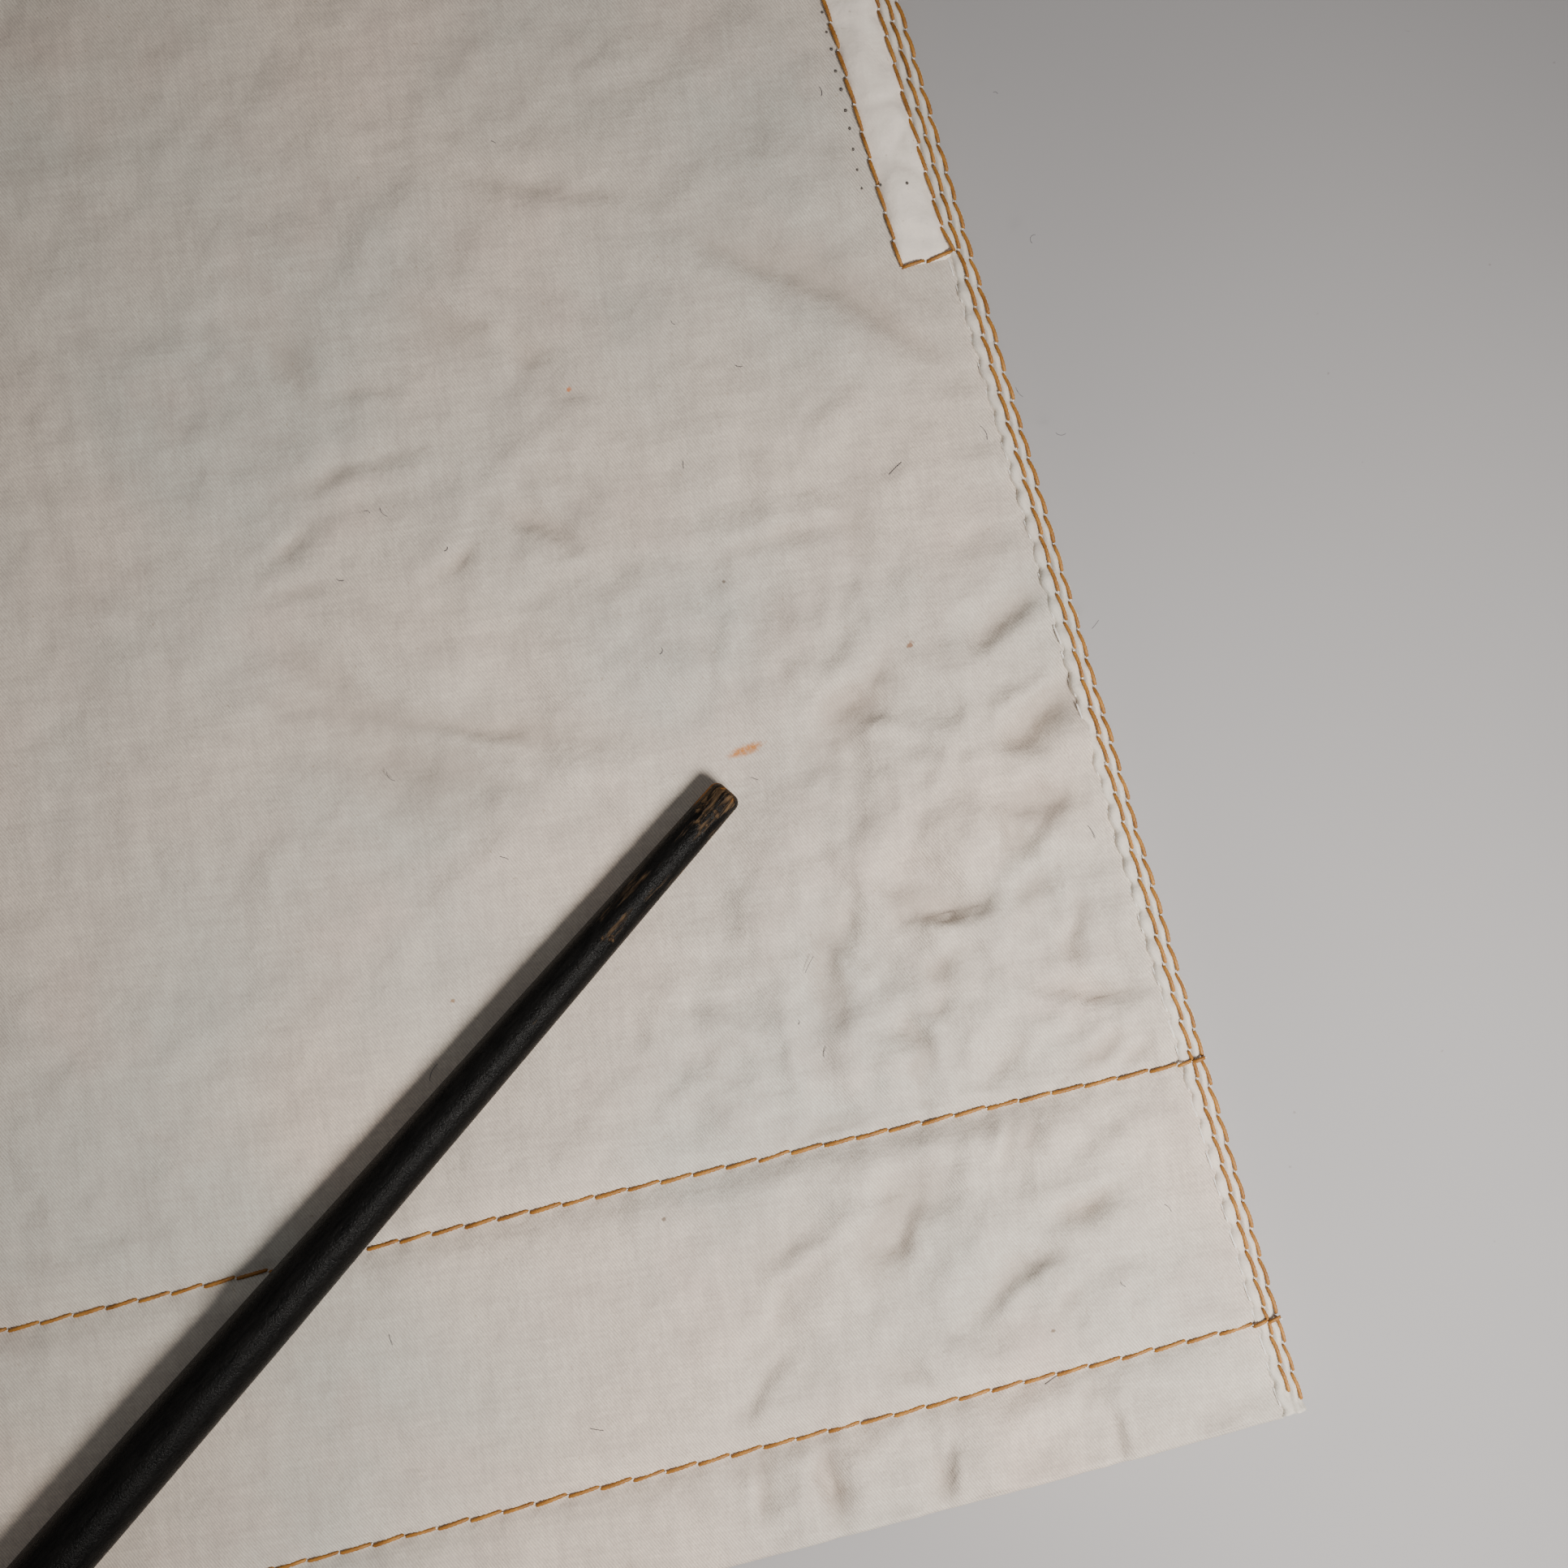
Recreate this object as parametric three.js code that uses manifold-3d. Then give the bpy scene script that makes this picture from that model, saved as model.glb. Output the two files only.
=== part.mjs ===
// Off-white cotton shorts laid flat, front up, with a black lacquered stick lying across the left leg.
// Millimetres. +Z is up from the table, +Y runs towards the waist, +X towards the wearer's left.
// While the pieces are drawn, y = 0 is the crotch; the whole group is centred on its footprint at the end.
import * as THREE from "three";
import { mergeVertices } from "three/addons/utils/BufferGeometryUtils.js";
import Module from "manifold-3d";

const wasm = await Module();
wasm.setup();
const { lerp, degToRad, smoothstep } = THREE.MathUtils;

// ---------------------------------------------------------------- driving dimensions

const cloth = 0.5; // one ply of cotton
const gap = 0.3; // clearance between pieces that touch

const rise = 240; // crotch to waistband seam
const inseam = 106; // crotch to the hem's inner corner
const hemLift = 36; // the hem's outer corner stands this much higher than its inner one
const hemReach = 290; // centre line to the hem's outer corner
const outseamLean = degToRad(8.4); // the straight stretch of the side seam leans out this much
const outseamStraight = 170; // length of that straight stretch, from the hem
const hipPull = 70; // how far the straight stretch leads the hip curve on
const waistHalf = 210; // centre line to the side at the waistband seam
const waistTaper = 4; // the waistband's top edge is this much narrower on each side
const bandHeight = 38; // waistband
const legGapTop = 2; // between the two legs at the crotch
const legGapHem = 18; // between the two legs at the hem

const seamWidth = 2.8; // felled side and leg seams, ditch to edge
const riseSeamWidth = 6; // felled centre seams
const threadWidth = 0.6; // topstitching
const threadHeight = 0.4;
const innerRowInset = 1.6; // first topstitched row of a side seam, from the edge
const outerRowInset = 0.45; // second row

const hemDepthOuter = 41; // upper hem row above the edge, at the side seam
const hemDepthInner = 48; // and at the leg seam
const hemRowOuter = 11; // lower hem row above the edge, at the side seam
const hemRowInner = 16; // and at the leg seam
const facingMargin = 3; // the turned-up hem runs this far past its upper row

const pocketFoot = 62; // the pocket mouth's lower end, above the crotch
const pocketHead = 8; // its upper end, below the waistband seam
const weltInner = 8.7; // pocket welt, from the side edge to its far side
const weltOuter = 2.3; // and to its near side
const weltRowInset = 0.1; // topstitching inside each side of the welt
const bagClearance = 1; // between the pocket bag and the side seam
const bagReach = 150; // pocket bag, from the side seam inwards
const bagDrop = 52; // pocket bag below the mouth
const bagCorner = 45; // radius of its lower corner

const backPocketWidth = 130;
const backPocketHeight = 138;
const backPocketPoint = 16; // the pointed foot of the pocket
const backPocketX = 112; // centre of the pocket, from the centre back
const backPocketHead = 58; // its mouth, below the waistband seam

const zipFoot = 105; // lower end of the zip opening, above the crotch
const zipOpening = 8.4; // width between the two folded edges
const tapeWidth = 11.5; // each zip tape
const tapeThickness = 0.4;
const chainThickness = 1.2;
const toothReach = 2.2; // each row of teeth, from the centre line outwards
const toothPitch = 3;
const toothLength = 1.9; // along the zip
const toothSpine = 0.9; // the part of a row that holds its teeth together
const toothClearance = 0.15; // between the two rows
const stopLength = 3;
const sliderWidth = 7.2;
const sliderLength = 9;
const sliderPlate = 0.5;
const wedgeLength = 1.8;
const wedgeWidth = 1.6;
const lugWidth = 1.0;
const lugWall = 0.5;
const lugOpening = 1.5; // along the zip
const lugHeadroom = 1.35;
const tabWidth = 4.4;
const tabLength = 17;
const tabThickness = 0.6;
const tabBar = 0.7; // the bar that turns in the lug
const tabWindowWidth = 2.4;
const tabWindowLength = 3;
const shieldWidth = 34; // fly shield behind the zip
const zipRise = 1.1; // the front stands this much higher over the zip tapes
const zipRiseFade = 26; // and comes down over this width

const zipRowInset = 3; // topstitching beside the zip, outside its opening
const zipRowDrop = 10; // and below its foot
const zipRowCorner = 6; // and how far up its corners are cut off
const riseRowInset = 1; // topstitching inside each edge of the front centre seam
const riseRowEnd = 3; // and short of each end
const bandRowInset = 2; // waistband topstitching, from each edge
const bandRowReturn = 1.5; // its last stitch towards where it began
const rowEnd = 2; // other rows stop this far short of an edge

const overlapLeft = 16; // the left waistband end passes the centre line by this much
const overlapRight = 24; // and the right one lies under it by this much
const buttonRadius = 8.5;
const buttonThickness = 2.2;
const shankRadius = 2.6;
const buttonX = 4;
const buttonholeLength = 13;
const tackRadius = 1;
const tackHeadRadius = 4.5;
const tackHeadThickness = 0.8;
const tackClearance = 0.3;

const loopWidth = 11;
const loopThickness = 0.8;
const loopStandOff = 1.0; // height of the belt gap in the middle of a loop
const loopInset = 3; // each end inside the waistband's edge
const frontLoopX = 100;
const backLoopX = 130;

const stickLength = 210;
const stickTipRadius = 1.87;
const stickBellyRadius = 3.25;
const stickBellyAt = 79; // from the tip
const stickEndRadius = 4;
const stickRounding = 0.8; // of both ends
const stickTipClearance = 1.2; // the tip hangs this far above the cloth
const stickTipX = 235.5;
const stickTipY = 7;
const stickHeading = degToRad(221.2); // tip to thick end, in plan
const stickSlope = degToRad(0.8); // it rises towards the thick end
const stickSides = 20;

// ---------------------------------------------------------------- plies

const plyHeight = cloth + gap;
const ply = (n) => n * plyHeight; // underside of the n-th ply above the table
const backThickness = ply(1) + cloth; // the back is two plies deep, so that what is sewn on it lies flush
const innerLower = ply(2);
const innerUpper = ply(3);
const frontUnder = ply(4);
const frontTop = frontUnder + cloth;
const bandThickness = backThickness; // a waistband is two plies of cloth

// ---------------------------------------------------------------- geometry helpers

const numberOr = (value, x, y) => (typeof value === "function" ? value(x, y) : value);

function signedVolume(position, index) {
  const corner = [new THREE.Vector3(), new THREE.Vector3(), new THREE.Vector3()];
  let volume = 0;
  for (let i = 0; i < index.length; i += 3) {
    corner.forEach((p, k) => p.fromArray(position, 3 * index[i + k]));
    volume += corner[0].dot(corner[1].clone().cross(corner[2])) / 6;
  }
  return volume;
}

// A closed solid over a grid of plan points: its underside follows under(x, y), and it is thick(x, y) high.
function slab(rows, under, thick) {
  const cols = rows[0].length;
  const position = [];
  for (const isTop of [false, true]) {
    for (const [x, y] of rows.flat()) {
      position.push(x, y, numberOr(under, x, y) + (isTop ? numberOr(thick, x, y) : 0));
    }
  }
  const topStart = rows.length * cols;
  const index = [];
  const quad = (a, b, c, d) => index.push(a, b, c, a, c, d);
  const at = (r, c) => r * cols + c;
  const above = (r, c) => topStart + at(r, c);
  for (let r = 0; r + 1 < rows.length; r++) {
    for (let c = 0; c + 1 < cols; c++) {
      quad(above(r, c), above(r, c + 1), above(r + 1, c + 1), above(r + 1, c));
      quad(at(r, c), at(r + 1, c), at(r + 1, c + 1), at(r, c + 1));
    }
  }
  const rim = [];
  for (let c = 0; c + 1 < cols; c++) rim.push(at(0, c));
  for (let r = 0; r + 1 < rows.length; r++) rim.push(at(r, cols - 1));
  for (let c = cols - 1; c > 0; c--) rim.push(at(rows.length - 1, c));
  for (let r = rows.length - 1; r > 0; r--) rim.push(at(r, 0));
  rim.forEach((a, i) => {
    const b = rim[(i + 1) % rim.length];
    quad(a, b, topStart + b, topStart + a);
  });
  if (signedVolume(position, index) < 0) index.reverse();
  return new THREE.BufferGeometry()
    .setAttribute("position", new THREE.Float32BufferAttribute(position, 3))
    .setIndex(index);
}

// A strip of constant width along a path of plan points, lying on over(x, y).
function ribbon(path, width, over, height) {
  const points = path.map(([x, y]) => new THREE.Vector2(x, y));
  const rows = points.map((p, i) => {
    const before = points[Math.max(i - 1, 0)];
    const after = points[Math.min(i + 1, points.length - 1)];
    const into = i ? p.clone().sub(before).normalize() : after.clone().sub(p).normalize();
    const out = i + 1 < points.length ? after.clone().sub(p).normalize() : into;
    const across = into.clone().add(out).normalize();
    const mitre = width / 2 / across.dot(out);
    const side = new THREE.Vector2(-across.y, across.x).multiplyScalar(mitre);
    return [p.clone().sub(side), p.clone().add(side)].map((q) => [q.x, q.y]);
  });
  return slab(rows, over, height);
}

function box(width, length, height, x, y, z) {
  return new THREE.BoxGeometry(width, length, height).translate(x, y, z);
}

// An upright cylinder from z = from to z = to.
function post(radius, from, to, x, y, sides = 24) {
  const shape = new THREE.CylinderGeometry(radius, radius, to - from, sides);
  return shape.rotateX(Math.PI / 2).translate(x, y, (from + to) / 2);
}

// A flat outline raised from z = from to z = to.
function plate(outline, from, to) {
  const shape = new THREE.Shape(outline.map(([x, y]) => new THREE.Vector2(x, y)));
  const raised = new THREE.ExtrudeGeometry(shape, { depth: to - from, bevelEnabled: false });
  return raised.translate(0, 0, from);
}

function solid(geometry) {
  const bare = geometry.clone();
  bare.deleteAttribute("normal");
  bare.deleteAttribute("uv");
  const merged = mergeVertices(bare, 1e-4);
  const vertProperties = merged.attributes.position.array;
  const triVerts = new Uint32Array(merged.index.array);
  return new wasm.Manifold(new wasm.Mesh({ numProp: 3, vertProperties, triVerts }));
}

function surface(manifold) {
  const mesh = manifold.getMesh();
  return new THREE.BufferGeometry()
    .setAttribute("position", new THREE.BufferAttribute(mesh.vertProperties, 3))
    .setIndex(new THREE.BufferAttribute(mesh.triVerts, 1));
}

const joined = (...parts) => surface(parts.map(solid).reduce((sum, part) => sum.add(part)));
const cut = (body, ...tools) =>
  surface(tools.map(solid).reduce((left, tool) => left.subtract(tool), solid(body)));

// The same piece on the other side of the centre line.
function mirrored(geometry) {
  const other = geometry.clone().applyMatrix4(new THREE.Matrix4().makeScale(-1, 1, 1));
  if (!other.index) other.setIndex([...Array(other.attributes.position.count).keys()]);
  other.index.array.reverse();
  return other;
}

const steps = (from, to, count) => Array.from({ length: count + 1 }, (_, i) => lerp(from, to, i / count));

// ---------------------------------------------------------------- outline of the left half, laid flat

const hemCorner = new THREE.Vector2(hemReach, hemLift - inseam);
const seamward = new THREE.Vector2(-Math.sin(outseamLean), Math.cos(outseamLean));
const hipStart = hemCorner.clone().addScaledVector(seamward, outseamStraight);
const hipControl = hipStart.clone().addScaledVector(seamward, hipPull);
const hip = new THREE.QuadraticBezierCurve(hipStart, hipControl, new THREE.Vector2(waistHalf, rise));

// The side edge's x at a height y.
function outerX(y) {
  if (y <= hipStart.y) return hemCorner.x - (y - hemCorner.y) * Math.tan(outseamLean);
  let low = 0;
  let high = 1;
  for (let i = 0; i < 40; i++) {
    const middle = (low + high) / 2;
    if (hip.getPoint(middle).y < y) low = middle;
    else high = middle;
  }
  return hip.getPoint(low).x;
}

// The inner edge's x at a height y: the leg's inside below the crotch, the centre line above it.
const innerX = (y) => (y < 0 ? lerp(legGapTop, legGapHem, -y / inseam) / 2 : 0);

// A row of the panel grid: t is 0 at the hem and 1 at the waistband seam.
function planRow(t) {
  const innerY = lerp(-inseam, rise, t);
  const outerY = lerp(hemCorner.y, rise, t);
  return { innerY, inner: innerX(innerY), outerY, outer: outerX(outerY) };
}

// The point of row t at a given x.
function onRow(t, x) {
  const row = planRow(t);
  return [x, lerp(row.innerY, row.outerY, (x - row.inner) / (row.outer - row.inner))];
}

const rowOfHeight = (y) => (y + inseam) / (rise + inseam); // t of the row that starts at this height inside
const rowOfSide = (y) => (y - hemCorner.y) / (rise - hemCorner.y); // and of the row that ends at it outside

const zipEdge = zipOpening / 2 + tapeWidth; // the front is raised out to here
const crotchStep = 0.5; // the panel's inner edge steps from leg seam to centre seam over twice this
const panelTop = 1 - rowOfHeight(gap - inseam); // stops a gap below the waistband
const gridRows = [
  ...steps(0, rowOfHeight(-crotchStep), 4),
  rowOfHeight(crotchStep),
  ...steps(rowOfHeight(zipFoot / 2), rowOfHeight(zipFoot), 3),
  ...steps(rowOfHeight(zipFoot + crotchStep * 2), panelTop, 14),
];
const panelCols = 6;

function panel(innerEdge, under, thick) {
  const rows = gridRows.map((t) => {
    const row = planRow(t);
    const fade = steps(zipEdge, zipEdge + zipRiseFade, 3);
    const rest = steps(fade.pop(), row.outer - seamWidth - gap, panelCols);
    return [innerEdge(row), ...fade, ...rest].map((x) => onRow(t, x));
  });
  return slab(rows, under, thick);
}

const besideLegSeam = (row) => row.inner + seamWidth + gap;
const besideCentreSeam = riseSeamWidth / 2 + gap;
const backInnerEdge = (row) => (row.innerY < 0 ? besideLegSeam(row) : besideCentreSeam);
const frontInnerEdge = (row) => (row.innerY > zipFoot ? zipOpening / 2 : backInnerEdge(row));

// The front lies higher over the zip tapes and comes down smoothly beside and below them.
function frontLift(x, y) {
  const beside = 1 - smoothstep(Math.abs(x), zipEdge, zipEdge + zipRiseFade);
  return zipRise * beside * smoothstep(y, zipFoot - zipRiseFade, zipFoot - stopLength * 3);
}
const frontFloor = (x, y) => frontUnder + frontLift(x, y);
const onFront = (x, y) => frontFloor(x, y) + cloth + gap;

// ---------------------------------------------------------------- shell: panels, seams and hems

function backPocketOutline(grow) {
  const half = backPocketWidth / 2 + grow;
  const head = rise - backPocketHead + grow;
  const shoulder = rise - backPocketHead - backPocketHeight + backPocketPoint - grow;
  const foot = shoulder - backPocketPoint;
  const corners = [[-half, head], [-half, shoulder], [0, foot], [half, shoulder], [half, head]];
  return corners.map(([x, y]) => [x + backPocketX, y]);
}

const frontPanel = panel(frontInnerEdge, frontFloor, cloth);
const pocketRecess = plate(backPocketOutline(gap), -1, ply(1));
const backPanel = cut(panel(backInnerEdge, 0, backThickness), pocketRecess);
const backPocket = plate(backPocketOutline(0), 0, cloth);

// A felled seam closes front and back along the side, and another along the inside of the leg.
const outseam = slab(
  gridRows.map((t) => {
    const { outer } = planRow(t);
    return [onRow(t, outer - seamWidth), onRow(t, outer)];
  }),
  0,
  frontTop,
);
const legRows = steps(0, rowOfHeight(-gap), 4);
const legSeam = slab(
  legRows.map((t) => {
    const { inner } = planRow(t);
    return [onRow(t, inner), onRow(t, inner + seamWidth)];
  }),
  0,
  frontTop,
);

const halfRise = riseSeamWidth / 2;
const centreStrip = (from, to, under, thick) =>
  slab(steps(from, to, 6).map((y) => [[-halfRise, y], [halfRise, y]]), under, thick);
const frontRiseSeam = centreStrip(gap, zipFoot - gap, frontFloor, cloth);
const backRiseSeam = centreStrip(gap, rise - gap, 0, backThickness);

// Height of the hem's edge, and of a line that stands above it by one depth outside and another inside.
const hemShare = (x) => (x - legGapHem / 2) / (hemReach - legGapHem / 2);
const hemLine = (x, outer = 0, inner = 0) =>
  lerp(-inseam, hemCorner.y, hemShare(x)) + lerp(inner, outer, hemShare(x));

function hemFacing(under) {
  const inner = legGapHem / 2 + seamWidth + gap;
  const leanIn = (hemDepthOuter + facingMargin) * Math.tan(outseamLean);
  const outer = hemReach - seamWidth - gap;
  const edge = steps(inner, outer, 8).map((x) => [x, hemLine(x)]);
  const top = steps(inner, outer - leanIn, 8).map((x) => [
    x,
    hemLine(x, hemDepthOuter + facingMargin, hemDepthInner + facingMargin),
  ]);
  return slab([edge, top], under, cloth);
}

// ---------------------------------------------------------------- side pockets

const weltFootT = rowOfSide(pocketFoot);
const weltHeadT = rowOfSide(rise - pocketHead);
const weltRows = steps(weltFootT, weltHeadT, 16);
const sideLine = (inset) => weltRows.map((t) => onRow(t, planRow(t).outer - inset));
const pocketWelt = slab(
  weltRows.map((t) => [weltInner, weltOuter].map((inset) => onRow(t, planRow(t).outer - inset))),
  ply(5),
  cloth,
);

// Two plies sewn together round the edge and left open along the side seam.
function pocketBag() {
  const outline = (inset, reachOut) => {
    const foot = pocketFoot - bagDrop + inset;
    const head = rise - pocketHead - inset;
    const mouth = steps(foot, head, 16).map((y) => [outerX(y) - seamWidth - bagClearance + reachOut, y]);
    const inner = outerX(pocketFoot) - bagReach + inset;
    const radius = bagCorner - inset;
    const corner = steps(Math.PI, Math.PI * 1.5, 6).map((angle) => [
      inner + radius + radius * Math.cos(angle),
      foot + radius + radius * Math.sin(angle),
    ]);
    return [...mouth, [inner, head], ...corner];
  };
  const sewnEdge = 4;
  const body = plate(outline(0, 0), innerLower, innerUpper + cloth);
  const hollow = plate(outline(sewnEdge, sewnEdge), innerLower + cloth, innerUpper);
  return cut(body, hollow);
}

// ---------------------------------------------------------------- waistband and belt loops

const bandFoot = rise;
const bandTop = rise + bandHeight;
const bandHalf = (y) => waistHalf - (waistTaper * (y - bandFoot)) / bandHeight;
const sideLip = bandThickness;

function bandRows(from, to) {
  return [bandFoot, bandTop].map((y) => {
    const limit = bandHalf(y) - sideLip - gap;
    return steps(Math.max(from, -limit), Math.min(to, limit), 14).map((x) => [x, y]);
  });
}

function loopOutline(x, grow) {
  const half = loopWidth / 2 + grow;
  const low = bandFoot + loopInset - grow;
  const high = bandTop - loopInset + grow;
  return [[x - half, low], [x + half, low], [x + half, high], [x - half, high]];
}

const bandFloor = frontUnder;
const overlapFloor = bandFloor + bandThickness + gap;
const leftBandFloor = (x) =>
  lerp(overlapFloor, bandFloor, smoothstep(x, overlapRight + gap, overlapRight + bandHeight));
const bandMiddle = (bandFoot + bandTop) / 2;

function waistbandBack() {
  const full = [bandFoot, bandTop].map((y) => [[-bandHalf(y), y], [bandHalf(y), y]]);
  const lips = [-1, 1].map((side) =>
    slab(
      [bandFoot, bandTop].map((y) => [[side * (bandHalf(y) - sideLip), y], [side * bandHalf(y), y]]),
      0,
      bandFloor + bandThickness,
    ),
  );
  const recesses = [-backLoopX, 0, backLoopX].map((x) => plate(loopOutline(x, gap), -1, ply(1)));
  return cut(joined(slab(full, 0, bandThickness), ...lips), ...recesses);
}

function buttonhole() {
  const half = buttonholeLength / 2;
  const round = shankRadius + gap * 2;
  const outline = steps(0, 2 * Math.PI, 20)
    .slice(0, -1)
    .map((a) => [buttonX + half * Math.cos(a), bandMiddle + round * Math.sin(a)]);
  return plate(outline, overlapFloor - 1, overlapFloor + bandThickness + 1);
}

const leftBand = slab(bandRows(-overlapLeft, waistHalf), leftBandFloor, bandThickness);
const waistbandLeft = cut(leftBand, buttonhole());
const tackHole = post(tackRadius + tackClearance, 0, overlapFloor, buttonX, bandMiddle);
const rightBand = slab(bandRows(-waistHalf, overlapRight), bandFloor, bandThickness);
const waistbandRight = cut(rightBand, tackHole);

function frontLoop(x) {
  const low = bandFoot + loopInset;
  const length = bandHeight - 2 * loopInset;
  const bow = (_, y) => loopStandOff * Math.sin((Math.PI * (y - low)) / length);
  const rows = steps(low, low + length, 8).map((y) => [[x - loopWidth / 2, y], [x + loopWidth / 2, y]]);
  return slab(rows, (_, y) => bandFloor + bandThickness + gap + bow(_, y), loopThickness);
}
const backLoop = (x) => plate(loopOutline(x, 0), 0, cloth);

// ---------------------------------------------------------------- waist button on its tack

const tackHead = bandFloor - gap - tackHeadThickness;
const capFloor = overlapFloor + bandThickness + gap;
const tackTop = capFloor;
const buttonTack = joined(
  post(tackHeadRadius, tackHead, tackHead + tackHeadThickness, buttonX, bandMiddle),
  post(tackRadius, tackHead, tackTop, buttonX, bandMiddle),
);
const shankFloor = overlapFloor + gap / 2;
const capRim = 0.5; // rounding of the cap's lower edge
const capDome = buttonThickness * 0.35;
const capCrown = 0.2; // the dome's shoulder stands this far below its top
const shankOverlap = 0.3; // the shank runs this far into the cap
const capProfile = [
  [0, 0],
  [buttonRadius - capRim, 0],
  [buttonRadius, capRim],
  [buttonRadius, buttonThickness - capDome],
  [buttonRadius * 0.7, buttonThickness - capCrown],
  [0, buttonThickness],
].map(([r, z]) => new THREE.Vector2(r, z));
const cap = new THREE.LatheGeometry(capProfile, 32)
  .rotateX(Math.PI / 2)
  .translate(buttonX, bandMiddle, capFloor);
const waistButton = cut(
  joined(cap, post(shankRadius, shankFloor, capFloor + shankOverlap, buttonX, bandMiddle)),
  post(tackRadius + tackClearance, shankFloor - 1, tackTop + gap, buttonX, bandMiddle),
);

// ---------------------------------------------------------------- zip

const sliderUnder = innerUpper;
const chainUnder = sliderUnder + sliderPlate + gap;
const tapeUnder = chainUnder + (chainThickness - tapeThickness) / 2;
const sliderTop = chainUnder + chainThickness + gap + sliderPlate;
const sliderY = rise - sliderLength / 2 - gap * 10; // closed, just below the waistband
const wedgeY = sliderY + sliderLength / 2 - wedgeLength / 2;
const chainHead = wedgeY - wedgeLength / 2 - gap;
const chainFoot = zipFoot + stopLength + gap;

const chainMiddle = chainUnder + chainThickness / 2;

// One row of teeth: a spine clamped on the tape, with teeth that reach past the centre line
// between the other row's.
function teethRow(side, offset) {
  const length = chainHead - chainFoot;
  const spineX = side * (toothReach - toothSpine / 2);
  const spineY = chainFoot + length / 2;
  const parts = [box(toothSpine, length, chainThickness, spineX, spineY, chainMiddle)];
  const thickness = toothLength / 2 - toothClearance / 2;
  const room = length - toothPitch;
  const count = Math.floor(room / toothPitch);
  for (let i = 0; i <= count; i++) {
    const y = chainFoot + toothLength / 2 + i * toothPitch + offset;
    const reach = toothReach - toothSpine / 2 + toothClearance * 2;
    const x = side * (toothReach - toothSpine / 2 - reach / 2);
    parts.push(box(reach, thickness, chainThickness, x, y, chainMiddle));
  }
  return joined(...parts);
}

const zipTape = plate(
  [
    [toothReach + gap, zipFoot - stopLength],
    [toothReach + gap + tapeWidth, zipFoot - stopLength],
    [toothReach + gap + tapeWidth, rise - gap],
    [toothReach + gap, rise - gap],
  ],
  tapeUnder,
  tapeUnder + tapeThickness,
);
const stopY = zipFoot + stopLength / 2;
const zipStop = box(toothReach * 2, stopLength, chainThickness, 0, stopY, chainMiddle);

const tabPivotZ = sliderTop + gap + tabBar / 2;
function zipSlider() {
  const half = sliderPlate / 2;
  const lugX = lugWidth;
  const lugY = lugOpening / 2 + lugWall / 2;
  const lugTop = sliderTop + lugHeadroom;
  return joined(
    box(sliderWidth, sliderLength, sliderPlate, 0, sliderY, sliderUnder + half),
    box(sliderWidth, sliderLength, sliderPlate, 0, sliderY, sliderTop - half),
    box(wedgeWidth, wedgeLength, sliderTop - sliderUnder, 0, wedgeY, (sliderTop + sliderUnder) / 2),
    box(lugX, lugWall, lugHeadroom + half, 0, sliderY - lugY, lugTop - (lugHeadroom + half) / 2),
    box(lugX, lugWall, lugHeadroom + half, 0, sliderY + lugY, lugTop - (lugHeadroom + half) / 2),
    box(lugX, lugOpening + 2 * lugWall, lugWall, 0, sliderY, lugTop + half),
  );
}

function zipTab() {
  const top = sliderY + tabBar / 2;
  const body = box(tabWidth, tabLength, tabThickness, 0, top - tabLength / 2, tabPivotZ);
  const windowY = top - tabBar - tabWindowLength / 2;
  return cut(body, box(tabWindowWidth, tabWindowLength, tabThickness * 3, 0, windowY, tabPivotZ));
}

const flyShield = plate(
  [
    [-shieldWidth / 2, zipFoot - stopLength * 3],
    [shieldWidth / 2, zipFoot - stopLength * 3],
    [shieldWidth / 2, rise - gap],
    [-shieldWidth / 2, rise - gap],
  ],
  innerLower,
  innerLower + cloth,
);

// ---------------------------------------------------------------- topstitching on the front

const thread = (path, over) => ribbon(path, threadWidth, over, threadHeight);
const seamRow = (inset) =>
  thread(gridRows.map((t) => onRow(t, planRow(t).outer - inset)), frontTop + gap);
const hemRow = (outer, inner) => {
  const from = legGapHem / 2 + threadWidth;
  const to = hemReach - outer * Math.tan(outseamLean) - innerRowInset - threadWidth * 2;
  return thread(steps(from, to, 14).map((x) => [x, hemLine(x, outer, inner)]), frontTop + gap);
};
const weltStitching = () => {
  const far = sideLine(weltInner - weltRowInset - threadWidth / 2);
  const near = sideLine(weltOuter + weltRowInset + threadWidth / 2);
  return thread([...far.slice().reverse(), ...near], ply(6));
};
const legRow = () =>
  thread(legRows.slice(1, -1).map((t) => onRow(t, planRow(t).inner + seamWidth / 2)), frontTop + gap);

const zipRowX = zipOpening / 2 + zipRowInset;
const zipRowFoot = zipFoot - zipRowDrop;
const zipStitching = () => {
  const across = steps(-zipRowX, zipRowX, 4).map((x) => [x, zipRowFoot]);
  const side = (x) => steps(zipRowFoot + zipRowCorner, rise - rowEnd, 8).map((y) => [x, y]);
  return thread([...side(-zipRowX).reverse(), ...across, ...side(zipRowX)], onFront);
};
const riseRow = (x) => thread(steps(riseRowEnd, zipRowFoot - riseRowEnd, 8).map((y) => [x, y]), onFront);

function bandStitching(from, to, floor) {
  const low = bandFoot + bandRowInset;
  const high = bandTop - bandRowInset;
  const lower = steps(from, to, 14).map((x) => [x, low]);
  const upper = steps(to, from, 14).map((x) => [x, high]);
  const path = [...lower, ...upper, [from, low + bandRowReturn]];
  return thread(path, (x) => floor(x) + bandThickness + gap);
}
const bandRowEnd = waistHalf - waistTaper - sideLip - 2 * rowEnd;

// ---------------------------------------------------------------- the stick

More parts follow.
